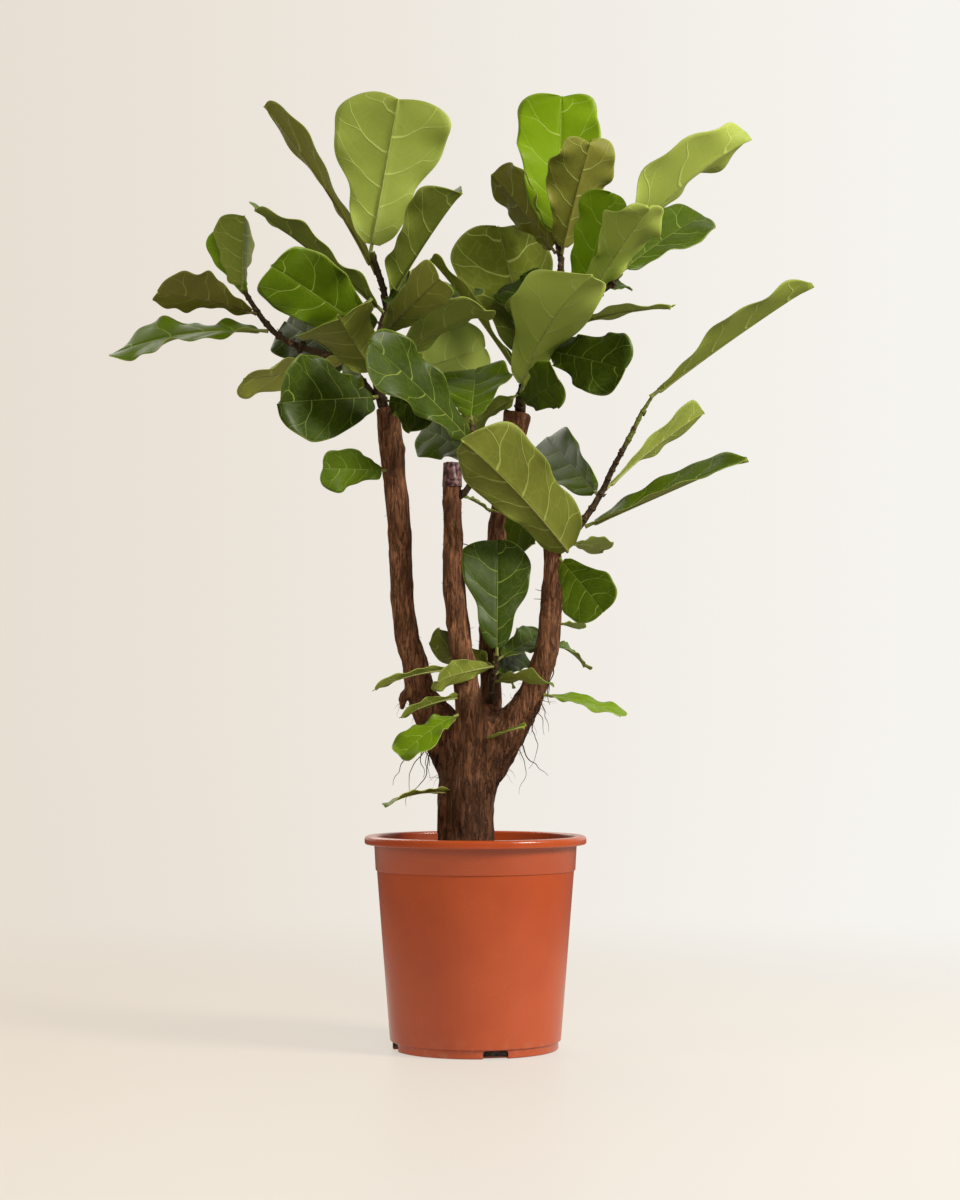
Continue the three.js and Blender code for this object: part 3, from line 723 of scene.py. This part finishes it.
def make_bark_group():
    group, given, result = new_group(
        "bark grain", [("Scale", SCALAR), ("Stretch", SCALAR)],
        [("Ridges", SCALAR), ("Cracks", SCALAR), ("Patches", SCALAR), ("Fibres", SCALAR)])
    place = object_place(group)
    parts = add_node(group, "ShaderNodeSeparateXYZ", {0: place})
    tall = maths(group, "MULTIPLY", parts.outputs[2], given["Stretch"])
    joined = add_node(group, "ShaderNodeCombineXYZ", {0: parts.outputs[0], 1: parts.outputs[1], 2: tall})
    drawn_out = joined.outputs[0]
    ridges = noise_pattern(group, drawn_out, given["Scale"], 5.0, Roughness=0.65, Distortion=0.4)
    away = maths(group, "ABSOLUTE", maths(group, "SUBTRACT", ridges, 0.5))
    cracks = maths(group, "SUBTRACT", 1.0, ramp(group, away, 0.0, 0.045))
    finer = maths(group, "MULTIPLY", given["Scale"], 3.2)
    fibres = noise_pattern(group, drawn_out, finer, 3.0, Roughness=0.7)
    patches = noise_pattern(group, place, 26.0, 4.0)
    for name, socket in (("Ridges", ridges), ("Cracks", cracks), ("Patches", patches), ("Fibres", fibres)):
        group.links.new(socket, result[name])
    return group


BARK_GROUP = make_bark_group()


def bark_material(name, scale, dark, mid, pale, relief):
    material, tree, shader = new_material(name, Roughness=0.85)
    shader.inputs["Specular IOR Level"].default_value = 0.25
    grain = add_node(tree, "ShaderNodeGroup", {}, node_tree=BARK_GROUP)
    grain.inputs["Scale"].default_value = scale
    grain.inputs["Stretch"].default_value = BARK_STRETCH
    ridges, fibres = grain.outputs["Ridges"], grain.outputs["Fibres"]
    colour = blend_colours(tree, ramp(tree, fibres, 0.36, 0.66), mid, pale)
    colour = blend_colours(tree, ramp(tree, grain.outputs["Patches"], 0.42, 0.62, 0.0, 0.75), colour, mid)
    shade = maths(tree, "MULTIPLY", ramp(tree, ridges, 0.55, 0.30), 0.55)
    colour = blend_colours(tree, shade, colour, dark)
    # Painted shade: the colour of the wood is darkened towards its foot, where the trunk lies in shade.
    upward = add_node(tree, "ShaderNodeSeparateXYZ", {0: object_place(tree)}).outputs[2]
    painted_shade_low = ramp(tree, upward, 0.34, 0.62, 0.55, 0.0)
    colour = blend_colours(tree, painted_shade_low, colour, dark)
    cracks = maths(tree, "MULTIPLY", grain.outputs["Cracks"], CRACK_SHARE)
    colour = blend_colours(tree, cracks, colour, dark)
    colour = blend_colours(tree, point_value(tree, "young"), colour, YOUNG_BARK)
    tree.links.new(colour, shader.inputs["Base Color"])
    height = maths(tree, "ADD", ridges, maths(tree, "MULTIPLY", fibres, 0.5))
    height = maths(tree, "SUBTRACT", height, maths(tree, "MULTIPLY", cracks, 0.5))
    bump(tree, shader, height, 0.9, relief)
    return material


BARK = bark_material("bark", 85.0, (0.024, 0.009, 0.004), (0.140, 0.056, 0.023),
                     (0.350, 0.155, 0.075), 6.0 * MM)
TWIG_BARK = bark_material("twig_bark", 220.0, (0.014, 0.008, 0.004), (0.050, 0.030, 0.014),
                          (0.130, 0.085, 0.040), 1.5 * MM)
print("barks:", BARK.name, TWIG_BARK.name)


# %% Bark skin
TRUNK_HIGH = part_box("trunk")[1]
FORK_BELOW_TOP, FORK_REACH, FORK_SMOOTHING = 45 * MM, 55 * MM, 60
GREEN_FADE, GREEN_SHARE = 0.08, 0.85


def relax_skin(bm, verts, times):
    for _ in range(times):
        bmesh.ops.smooth_vert(bm, verts=verts, factor=0.5, use_axis_x=True, use_axis_y=True,
                              use_axis_z=True)


def roughen(bm, push, grain, shrink):
    """Moves each point along its normal: long ridges, finer ones, lumps and flat knots."""
    for vert in bm.verts:
        spot = vert.co
        stretched = Vector((spot.x, spot.y, spot.z * BARK_STRETCH)) * grain
        ridge = 0.5 - abs(noise.noise(stretched))
        fine = noise.noise(stretched * 2.3)
        lump = noise.noise(spot * 24)
        knots = max(0.0, noise.noise(Vector((spot.x * 18, spot.y * 18, spot.z * 46)))) ** 2
        height = 1.1 * ridge + 0.6 * fine + 0.7 * lump + 1.6 * knots - 0.3
        vert.co = spot + vert.normal * (push * height - shrink)


def bark_skin(name, nodes, material, voxel, relaxing, push, grain, additions=(), shrink=0.0,
              green=None):
    """One skin over the nodes. Above the share green of its height, the skin is young."""
    bm = merged_copy(*nodes)
    for add in additions:
        add(bm)
    piece = finish_piece(name, bm, [material], nodes)
    apply_modifier(piece, "REMESH", mode="VOXEL", voxel_size=voxel, adaptivity=0.0)
    bm = bmesh.new()
    bm.from_mesh(piece.data)
    relax_skin(bm, bm.verts, relaxing)
    if "trunk" in nodes:
        middle = TRUNK_HIGH.z - FORK_BELOW_TOP
        fork = [vert for vert in bm.verts if abs(vert.co.z - middle) < FORK_REACH]
        relax_skin(bm, fork, FORK_SMOOTHING)
    bm.normal_update()
    roughen(bm, push, grain, shrink)
    bm.to_mesh(piece.data)
    bm.free()
    smooth_faces(piece)
    layer = piece.data.attributes.new("young", "FLOAT", "POINT")
    if green:
        low, high = (corner.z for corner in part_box(nodes[0]))
        for index, vert in enumerate(piece.data.vertices):
            share = (vert.co.z - low) / (high - low)
            layer.data[index].value = min(max((share - green) / GREEN_FADE, 0), 1) * GREEN_SHARE
    print(name, "faces:", len(piece.data.polygons))


# %% Trunk and stems
STEM_NODES = ["trunk", "stem_left", "stem_middle", "stem_back", "stem_right"]
RIDGE_HEIGHTS = (335, 380, 420, 460)  # millimetres above the floor
RIDGES = ((203, 9), (262, 6), (318, 8), (20, 8), (95, 9), (150, 7))  # turn, half thickness
STUB_HEIGHT = 565 * MM


def swell_fork(bm):
    """The trunk widens under the fork until it reaches the feet of its stems."""
    trunk, trunk_radius = slice_centre("trunk", TRUNK_HIGH.z - 110 * MM)
    mid, mid_radius = slice_centre("trunk", TRUNK_HIGH.z - 30 * MM)
    for node in STEM_NODES[1:]:
        foot, radius = slice_centre(node, TRUNK_HIGH.z + 30 * MM)
        bend = mid.lerp(foot, 0.45)
        bend.z = mid.z
        radii = [trunk_radius * 0.8, mid_radius * 0.78, radius * 0.98]
        add_tube(bm, [trunk, bend, foot], radii, sides=16, rows=10)


def add_ridges(bm):
    """Blunt ridges run down the trunk to the soil and fade out upward."""
    for turn, thick in RIDGES:
        ridge = []
        for height in RIDGE_HEIGHTS:
            centre, radius = slice_centre("trunk", height * MM)
            angle = math.radians(turn + (height - RIDGE_HEIGHTS[0]) * 0.06)
            out = Vector((math.cos(angle), math.sin(angle), 0))
            ridge.append(centre + out * (radius - thick * 0.45 * MM))
        radii = [thick * share * MM for share in (1, 1, 0.8, 0.5)]
        add_tube(bm, ridge, radii, sides=10, rows=12)


def add_stub(bm):
    """A side branch broke off the left stem and left a short stub that points down."""
    branch, radius = slice_centre("stem_left", STUB_HEIGHT)
    out = Vector((-1, -0.3, 0)).normalized()
    stub = [branch + out * radius * 0.5, branch + out * (radius + 6 * MM) - Vector((0, 0, 12 * MM)),
            branch + out * (radius + 8 * MM) - Vector((0, 0, 34 * MM))]
    add_tube(bm, stub, [11 * MM, 8 * MM, 3.5 * MM], sides=10, rows=8)


bark_skin("woody_stems", STEM_NODES, BARK, voxel=2.6 * MM, relaxing=12, push=2.4 * MM,
          grain=80, additions=(swell_fork, add_ridges, add_stub))

# %% Leafy shoots
RING_GAP = (11, 24)
AHEAD = 4 * MM  # the rise over which a shoot's direction is measured


def direction_at(node, height):
    """Centre, radius and direction of a shoot at a height."""
    centre, radius = slice_centre(node, height)
    return centre, radius, (slice_centre(node, height + AHEAD)[0] - centre).normalized()


def scar_rings(node):
    low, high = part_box(node)
    dice = random.Random(node)

    def rings(bm):
        height = low.z + 12 * MM
        while height < high.z - 8 * MM:
            centre, radius, ahead = direction_at(node, height)
            ring = [centre - ahead * 2.2 * MM, centre, centre + ahead * 2.2 * MM]
            add_tube(bm, ring, [radius * 0.9, radius * 1.08 + 0.9 * MM, radius * 0.9], sides=10, rows=4)
            height += dice.uniform(*RING_GAP) * MM
    return rings


SHOOT_NODES = sorted(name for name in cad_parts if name.startswith("shoot_"))
for node in SHOOT_NODES:
    thinner, green = (1.8 * MM, 0.66) if node == "shoot_right" else (0.4 * MM, 0.93)
    bark_skin(node.replace("shoot_", "twig_"), [node], TWIG_BARK, voxel=1.3 * MM, relaxing=3,
              push=0.8 * MM, grain=240, additions=[scar_rings(node)], shrink=thinner, green=green)

# %% [markdown]
# ## Aerial roots and fibres
# A fig drops thin roots from the bark near its fork, and some reach the soil. Hair particles
# could stand in for them, but a particle isn't a mesh, so each root is a tube that hangs down
# with a wandering course and thins to its tip. Fine broken fibres stand off the bark, most of
# them round the fork. They start on the bark mesh itself, so that none floats.

# %% Aerial roots
ROOT_STEP = 9 * MM
WANDER, SINK = 0.45, -0.12  # how much a root's direction changes at each step
FORK_FIBRES, STEM_FIBRES = 170, 110
SPURS = (("stem_right", 0.705, (-1, -0.5, 0.9)), ("stem_right", 0.712, (-0.9, -0.8, 0.2)),
         ("stem_middle", 0.80, (1, -0.3, 0.2)))


def root_material():
    return two_tone("aerial_root", 0.9, 120.0, 3.0, 0.35, 0.7, (0.010, 0.006, 0.003),
                    (0.060, 0.032, 0.016))[0]


def hanging_root(bm, dice, start, drop, length, radius, sides=5):
    """A thinning tube that sets out along drop, then wanders and sinks."""
    points, spot, heading = [], start.copy(), drop.normalized()
    steps = max(4, round(length / ROOT_STEP))
    for _ in range(steps + 1):
        points.append(spot.copy())
        heading += Vector([dice.uniform(-WANDER, WANDER) for _ in range(3)]) + Vector((0, 0, SINK))
        heading.normalize()
        spot += heading * (length / steps)
    radii = [radius * (1 - 0.75 * step / steps) for step in range(steps + 1)]
    add_tube(bm, points, radii, sides=sides, rows=steps * 2)


def bark_spots(low, high, test):
    """Points of the bark skin between two heights in metres, with their normals."""
    mesh = bpy.data.objects["woody_stems"].data
    return [(vert.co.copy(), vert.normal.copy()) for vert in mesh.vertices
            if low < vert.co.z < high and test(vert.co, vert.normal)]


def add_roots(bm, dice):
    left = bark_spots(0.44, 0.50, lambda co, normal: normal.x < -0.5 and co.x < -0.05)
    right = bark_spots(0.48, 0.60, lambda co, normal: normal.x > 0.5 and co.x > 0.06)
    back = bark_spots(0.44, 0.54, lambda co, normal: normal.y > 0.6)
    for spots, number, longest in ((left, 6, 0.12), (right, 7, 0.105), (back, 5, 0.10)):
        for _ in range(number):
            spot, normal = dice.choice(spots)
            drop = normal * 0.45 + Vector((0, 0, -1))
            length = longest * dice.uniform(0.35, 1.0)
            hanging_root(bm, dice, spot - normal * MM, drop, length, dice.uniform(0.8, 1.7) * MM)
    longest_start = Vector((-0.072, -0.03, 0.46))
    spot, normal = min(left, key=lambda pair: (pair[0] - longest_start).length)
    hanging_root(bm, dice, spot - normal * MM, Vector((-0.15, -0.1, -1)), 150 * MM, 1.8 * MM)


def add_spurs(bm, dice):
    """Three short dry roots stand out from the right and the middle stem."""
    for node, height, aim in SPURS:
        spot = slice_centre(node, height)[0]
        hanging_root(bm, dice, spot, Vector(aim), 42 * MM, 1.4 * MM)


def add_fibres(bm, dice):
    fork = bark_spots(0.40, 0.58, lambda co, normal: True)
    for _ in range(FORK_FIBRES):
        spot, normal = dice.choice(fork)
        aim = normal + Vector((dice.uniform(-1, 1), dice.uniform(-1, 1), dice.uniform(-1.4, 0.5)))
        hanging_root(bm, dice, spot - normal * MM, aim, dice.uniform(8, 30) * MM, 0.40 * MM, sides=3)
    stems = bark_spots(0.56, 1.0, lambda co, normal: True)
    for _ in range(STEM_FIBRES):
        spot, normal = dice.choice(stems)
        aim = normal * 1.2 + Vector((0, 0, dice.uniform(-1, 1)))
        hanging_root(bm, dice, spot - normal * MM, aim, dice.uniform(4, 9) * MM, 0.45 * MM, sides=3)


def make_roots():
    dice = random.Random(41)
    bm = bmesh.new()
    for add in (add_roots, add_spurs, add_fibres):
        add(bm, dice)
    print("faces of the roots and fibres:", len(bm.faces))
    finish_piece("aerial_roots", bm, [root_material()])


make_roots()

# %% [markdown]
# ## Leaf scales
# Every growing tip of a fig is wrapped in thin brown scales, and old ones stay at the joints
# below it. They could be flat cards, but a real scale hugs its twig. So each is a small grid,
# bent round the twig, drawn to a point and given a thickness.

# %% Leaf scales
def add_scale(bm, dice, centre, radius, ahead, length):
    turn = dice.uniform(0, 2 * math.pi)
    out = Matrix.Rotation(turn, 3, ahead) @ ahead.orthogonal().normalized()
    wide = ahead.cross(out)
    flare = dice.uniform(0.0, 0.3)
    grid = bmesh.ops.create_grid(bm, x_segments=4, y_segments=6, size=1)["verts"]
    for vert in grid:
        share = (vert.co.y + 1) / 2
        across = vert.co.x * (1 - share ** 1.8) * 0.9 + 0.02 * vert.co.x
        away = radius * (math.cos(across * 0.9) + 0.12) + flare * length * share ** 2
        vert.co = centre + out * away + wide * math.sin(across) * radius + ahead * (length * share)
    faces = list({face for vert in grid for face in vert.link_faces})
    bmesh.ops.solidify(bm, geom=faces, thickness=0.3 * MM)


SCALES_PER_SHOOT = 9


def make_scales():
    material = two_tone("leaf_scale", 0.75, 260.0, 3.0, 0.35, 0.7, (0.035, 0.018, 0.008),
                        (0.190, 0.105, 0.045))[0]
    dice = random.Random(5)
    bm = bmesh.new()
    for node in SHOOT_NODES:
        low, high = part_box(node)
        for _ in range(SCALES_PER_SHOOT):
            below_top = (high.z - low.z) * 0.8 * dice.random() ** 1.5  # most are near the top
            height = high.z - below_top - 7 * MM
            centre, radius, ahead = direction_at(node, height)
            add_scale(bm, dice, centre, radius * 0.9, ahead, dice.uniform(5, 11) * MM)
    finish_piece("leaf_scales", bm, [material])
    print("scales:", SCALES_PER_SHOOT * len(SHOOT_NODES))


make_scales()

# %% [markdown]
# ## Pruning wax
# The middle stem was cut, and the cut was dipped in dark wax. Wax runs and sets in lumps, which
# a smooth cap wouldn't show. So the frame's cap gets the skin that the bark has, remeshed finely
# and pushed into small lumps, with a glossy coat over a blotched colour.

# %% Pruning wax
def make_wax_material():
    material, tree, shader, blots = two_tone(
        "pruning_wax", 0.35, 160.0, 5.0, 0.4, 0.62, (0.045, 0.018, 0.020), (0.230, 0.110, 0.105))
    shader.inputs["Coat Weight"].default_value = 0.4
    bump(tree, shader, blots, 0.6, 1.0 * MM)
    return material


bark_skin("wax_coat", ["wax_cap"], make_wax_material(), voxel=0.9 * MM, relaxing=3,
          push=1.0 * MM, grain=120)

# %% [markdown]
# ## Pot
# The pot is one injection moulding. It could be built from rings and bands, but one profile spun
# round the axis makes it all, as the mould does: the thin wall that widens upward, the small
# step below the lip, the rolled lip, the inset foot and the hollow inside. Its radii are shares
# of the frame's pot. The four drain slots are cut afterwards with a block whose top corners are
# round. The plastic is a little hazy, and dusty near the floor.

# %% Pot
def make_pot_material():
    material, tree, shader = new_material("pot_plastic", Roughness=0.34)
    place = object_place(tree)
    haze = noise_pattern(tree, place, 7.0, 4.0)
    colour = blend_colours(tree, ramp(tree, haze, 0.3, 0.7), (0.395, 0.058, 0.012), (0.450, 0.074, 0.016))
    upward = add_node(tree, "ShaderNodeSeparateXYZ", {0: place}).outputs[2]
    near_floor = ramp(tree, upward, 0.0, 0.04, 0.25, 0.0)
    dust = ramp(tree, noise_pattern(tree, place, 60.0, 6.0), 0.45, 0.75)
    colour = blend_colours(tree, maths(tree, "MULTIPLY", dust, near_floor), colour, (0.50, 0.30, 0.20))
    tree.links.new(colour, shader.inputs["Base Color"])
    tree.links.new(ramp(tree, haze, 0.3, 0.7, 0.20, 0.30), shader.inputs["Roughness"])
    shader.inputs["Specular IOR Level"].default_value = 0.60
    bump(tree, shader, noise_pattern(tree, place, 420.0, 3.0), 0.08, 0.3 * MM)
    return material


POT_SEGMENTS = 160
RIM, POT_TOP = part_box("pot")[1].x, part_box("pot")[1].z
FOOT, WALL_FOOT, BELOW_BAND = (RIM * share for share in (0.745, 0.7686, 0.8886))
BAND, WALL_TOP = RIM * 0.9006, RIM * 0.9143
FOOT_TOP, BAND_HEIGHT, LIP_FOOT = 14 * MM, 280 * MM, POT_TOP - 13 * MM
WALL = 3 * MM
WALL_STEPS = 24
SLOT_COUNT, FIRST_SLOT = 4, 14  # slots, and the first one's turn in degrees


def spun(profile, segments):
    bm = bmesh.new()
    verts = [bm.verts.new((radius, 0, height)) for radius, height in profile]
    edges = [bm.edges.new(pair) for pair in zip(verts, verts[1:])]
    bmesh.ops.spin(bm, geom=verts + edges, cent=(0, 0, 0), axis=(0, 0, 1), angle=2 * math.pi,
                   steps=segments, use_merge=True)
    bmesh.ops.remove_doubles(bm, verts=bm.verts, dist=1e-6)
    bmesh.ops.recalc_face_normals(bm, faces=bm.faces)
    return bm


def arc(centre, radius, start, stop, steps):
    angles = [math.radians(start + (stop - start) * i / steps) for i in range(steps + 1)]
    return [(centre[0] + radius * math.cos(a), centre[1] + radius * math.sin(a)) for a in angles]


def pot_profile():
    profile = [(0, 0), (FOOT * 0.5, 0)] + arc((FOOT - 3 * MM, 3 * MM), 3 * MM, -90, 0, 5)
    profile += [(FOOT, FOOT_TOP - 2.5 * MM), (FOOT + 0.8 * MM, FOOT_TOP - 0.8 * MM)]
    profile += arc((WALL_FOOT - 1.5 * MM, FOOT_TOP + 1.5 * MM), 1.5 * MM, -60, 0, 4)
    for step in range(1, WALL_STEPS):
        share = step / WALL_STEPS
        radius = WALL_FOOT + (BELOW_BAND - WALL_FOOT) * share
        profile.append((radius, FOOT_TOP + (BAND_HEIGHT - FOOT_TOP) * share))
    profile += [(BELOW_BAND, BAND_HEIGHT - 0.4 * MM), (BELOW_BAND + 0.5 * MM, BAND_HEIGHT)]
    profile += [(BAND - 0.4 * MM, BAND_HEIGHT + 0.4 * MM), (BAND, BAND_HEIGHT + 1.2 * MM)]
    profile += [(WALL_TOP - 0.3 * MM, LIP_FOOT - 2 * MM), (WALL_TOP + 1.0 * MM, LIP_FOOT - 0.4 * MM)]
    profile += arc((RIM - 3 * MM, LIP_FOOT + 3 * MM), 3 * MM, -90, 0, 5)
    profile += arc((RIM - 5 * MM, POT_TOP - 5 * MM), 5 * MM, 0, 90, 7)
    profile += arc((WALL_TOP + 1 * MM, POT_TOP - 4 * MM), 4 * MM, 90, 180, 6)
    profile += [(WALL_TOP - WALL, BAND_HEIGHT + 20 * MM), (BELOW_BAND - WALL, BAND_HEIGHT)]
    profile += [(WALL_FOOT - WALL, FOOT_TOP + WALL), (FOOT - WALL, WALL), (0, WALL)]
    return profile


def slot_cutter(turn):
    bm = bmesh.new()
    bmesh.ops.create_cube(bm, size=1)
    bmesh.ops.scale(bm, vec=(40 * MM, 24 * MM, 16 * MM), verts=bm.verts)
    inward = [edge for edge in bm.edges if abs((edge.verts[0].co - edge.verts[1].co).normalized().y) > 0.9]
    top = [edge for edge in inward if edge.verts[0].co.z > 0]
    bmesh.ops.bevel(bm, geom=top, offset=5 * MM, affect="EDGES", segments=5, profile=0.5, material=-1)
    bmesh.ops.translate(bm, vec=(0, 8 * MM - WALL_FOOT, 5 * MM), verts=bm.verts)
    bmesh.ops.rotate(bm, matrix=Matrix.Rotation(math.radians(turn), 3, "Z"), verts=bm.verts)
    return bm


def make_pot():
    cutters = bmesh.new()
    for index in range(SLOT_COUNT):
        part = slot_cutter(FIRST_SLOT + 360 / SLOT_COUNT * index)
        mesh = bpy.data.meshes.new("slot")
        part.to_mesh(mesh)
        part.free()
        cutters.from_mesh(mesh)
    slots = object_from("slots", cutters)
    pot = finish_piece("nursery_pot", spun(pot_profile(), POT_SEGMENTS), [make_pot_material()],
                       ["pot"])
    apply_modifier(pot, "BOOLEAN", operation="DIFFERENCE", object=slots, solver="EXACT")
    bpy.data.objects.remove(slots)
    smooth_faces(pot)
    pot.data.set_sharp_from_angle(angle=math.radians(40))
    print("pot faces:", len(pot.data.polygons))


make_pot()

# %% [markdown]
# ## Soil
# Potting mix is dark, damp and lumpy, with bits of bark and white perlite. A bump alone would
# leave its edge against the pot straight. So the ground is a spun disc pushed up and down by
# noise, with its skirt running down inside the pot, and a few hundred crumbs are scattered over
# it, each with only a few faces.

# %% Soil
SOIL_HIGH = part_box("soil")[1]
SOIL_RADIUS = SOIL_HIGH.x
SOIL_RINGS = 26
SOIL_SEGMENTS = 120
BARE_ROUND_TRUNK = 50 * MM
CRUMBS = 420


def soil_material(name, dark, pale):
    material, tree, shader, lumps = two_tone(name, 0.95, 230.0, 6.0, 0.4, 0.7, dark, pale)
    bump(tree, shader, lumps, 1.0, 3.0 * MM)
    return material


def ground_height(distance):
    """The ground is highest round the trunk and 5 mm lower at the wall."""
    return SOIL_HIGH.z - (2 + 5 * (distance / SOIL_RADIUS) ** 2) * MM


def make_ground():
    profile = [(0, ground_height(0))]
    for ring in range(1, SOIL_RINGS + 1):
        radius = SOIL_RADIUS * ring / SOIL_RINGS
        profile.append((radius, ground_height(radius)))
    profile += [(WALL_FOOT - 4 * MM, 20 * MM), (FOOT - 4 * MM, 4 * MM), (0, 4 * MM)]
    bm = spun(profile, SOIL_SEGMENTS)
    for vert in bm.verts:
        if vert.co.z > SOIL_HIGH.z - 20 * MM:
            level = noise.noise(vert.co * 28) * 4 + noise.noise(vert.co * 95) * 2
            edge = min(1.0, (SOIL_RADIUS - vert.co.to_2d().length) / (10 * MM))
            vert.co.z += level * MM * edge
    return bm


def add_crumb(bm, dice):
    distance = BARE_ROUND_TRUNK + (SOIL_RADIUS - 56 * MM) * math.sqrt(dice.random())
    turn = dice.uniform(0, 2 * math.pi)
    size = dice.uniform(1.5, 5.0) * MM
    spot = Vector((distance * math.cos(turn), distance * math.sin(turn), 0))
    spot.z = ground_height(distance) + noise.noise(spot * 28) * 4 * MM
    crumb = bmesh.ops.create_icosphere(bm, subdivisions=1, radius=size)["verts"]
    squash = Matrix.Diagonal((1, dice.uniform(0.5, 1), dice.uniform(0.35, 0.7)))
    bmesh.ops.rotate(bm, verts=crumb, matrix=Matrix.Rotation(turn * 3, 3, "Z") @ squash)
    bmesh.ops.translate(bm, verts=crumb, vec=spot)
    kind = dice.choices((0, 1, 2), (5, 4, 1))[0]
    for face in {face for vert in crumb for face in vert.link_faces}:
        face.material_index = kind


def make_soil():
    bm = make_ground()
    dice = random.Random(7)
    looks = [soil_material("potting_mix", (0.010, 0.006, 0.004), (0.055, 0.033, 0.020)),
             soil_material("bark_chips", (0.045, 0.022, 0.010), (0.130, 0.070, 0.035)),
             soil_material("perlite", (0.45, 0.43, 0.40), (0.75, 0.74, 0.70))]
    for _ in range(CRUMBS):
        add_crumb(bm, dice)
    print("faces of the soil:", len(bm.faces))
    finish_piece("potting_soil", bm, looks, ["soil"])


make_soil()

# %% [markdown]
# ## Floor and light
# A plain sweep of paper could stand behind the plant, but its bend would show from other sides.
# Instead the floor is flat and pale, and far from the pot it glows more and more in the cream of
# the background, so no horizon shows. That glow isn't sampled as a lamp, because a lamp of this
# size makes the leaves grainy. The world is a little warmer and darker to the left, and its
# front half is dim, which keeps the greens deep. One big soft lamp at the front right gives the
# leaves their gloss and lays a faint shadow behind the pot. A lamp above the viewer and a weak
# one at the left lift the shaded sides without a reflection of their own, and one behind edges
# the leaves with light.

# %% Floor, world and lamps
CREAM_LEFT, CREAM_RIGHT = (0.800, 0.730, 0.640), (0.930, 0.915, 0.875)
FLOOR_COLOUR = (0.72, 0.62, 0.49)
FLOOR_RADIUS = 40.0
BELOW_POT = 0.5 * MM
WARM_LIGHT, SOFT_LIGHT, SIDE_LIGHT = (1.0, 0.96, 0.89), (1.0, 0.97, 0.92), (1.0, 0.94, 0.86)


def cream_by_side(tree, sideways):
    return blend_colours(tree, ramp(tree, sideways, -0.25, 0.25), CREAM_LEFT, CREAM_RIGHT)


def make_world():
    world = bpy.data.worlds.new("soft_room")
    world.use_nodes = True
    tree = world.node_tree
    shader = tree.nodes["Background"]
    direction = add_node(tree, "ShaderNodeTexCoord").outputs["Generated"]
    parts = add_node(tree, "ShaderNodeSeparateXYZ", {0: direction})
    tree.links.new(cream_by_side(tree, parts.outputs[0]), shader.inputs["Color"])
    ray = add_node(tree, "ShaderNodeLightPath")
    room = ramp(tree, parts.outputs[1], -0.5, 0.6, 0.26, 0.64)
    mirrored = ramp(tree, parts.outputs[1], 0.1, 0.9, 0.08, 1.0)
    gap = maths(tree, "SUBTRACT", mirrored, room)
    room = maths(tree, "ADD", room, maths(tree, "MULTIPLY", gap, ray.outputs["Is Glossy Ray"]))
    tree.links.new(maths(tree, "MAXIMUM", ray.outputs["Is Camera Ray"], room), shader.inputs["Strength"])
    bpy.context.scene.world = world


def make_floor():
    bm = bmesh.new()
    bmesh.ops.create_circle(bm, cap_ends=True, segments=96, radius=FLOOR_RADIUS)
    floor = object_from("floor", bm)
    floor.location.z = -BELOW_POT
    material, tree, shader = new_material("pale_floor", Roughness=0.4)
    shader.inputs["Base Color"].default_value = (*FLOOR_COLOUR, 1)
    shader.inputs["Specular IOR Level"].default_value = 0.3
    place = object_place(tree)
    parts = add_node(tree, "ShaderNodeSeparateXYZ", {0: place})
    distance = add_node(tree, "ShaderNodeVectorMath", {0: place}, operation="LENGTH").outputs["Value"]
    sideways = maths(tree, "DIVIDE", parts.outputs[0], maths(tree, "ADD", distance, 3.2))
    seen = add_node(tree, "ShaderNodeLightPath").outputs["Is Camera Ray"]
    strength = maths(tree, "MAXIMUM", seen, ramp(tree, distance, 0.5, 1.6, 0.75, 0.15))
    inputs = {"Color": cream_by_side(tree, sideways), "Strength": strength}
    glow = add_node(tree, "ShaderNodeEmission", inputs)
    share = ramp(tree, distance, 0.6, 2.8, 0.66, 1.0)
    both = add_node(tree, "ShaderNodeMixShader", {0: share, 1: shader.outputs[0], 2: glow.outputs[0]})
    tree.links.new(both.outputs[0], tree.nodes["Material Output"].inputs[0])
    material.cycles.emission_sampling = "NONE"
    floor.data.materials.append(material)


def make_lamp(name, place, aim, size, power, colour, glare=True):
    lamp = bpy.data.objects.new(name, bpy.data.lights.new(name, "AREA"))
    lamp.data.size = size
    lamp.data.energy = power
    lamp.data.color = colour
    lamp.location = place
    lamp.rotation_euler = (Vector(aim) - Vector(place)).to_track_quat("-Z", "Y").to_euler()
    lamp.visible_glossy = glare
    bpy.context.scene.collection.objects.link(lamp)


make_world()
make_floor()
make_lamp("key_lamp", (3.3, -2.0, 2.7), (0, 0, 0.8), 1.3, 200, WARM_LIGHT)
make_lamp("front_lamp", (0.9, -4.6, 3.2), (0, 0, 0.8), 2.0, 80, SOFT_LIGHT, glare=False)
make_lamp("back_lamp", (-1.6, 3.6, 3.0), (0, 0, 0.9), 2.4, 42, SOFT_LIGHT)
make_lamp("side_lamp", (-3.2, -1.0, 1.6), (0, 0, 0.7), 1.2, 28, SIDE_LIGHT, glare=False)
print("lamps:", sorted(lamp.name for lamp in bpy.data.lights))
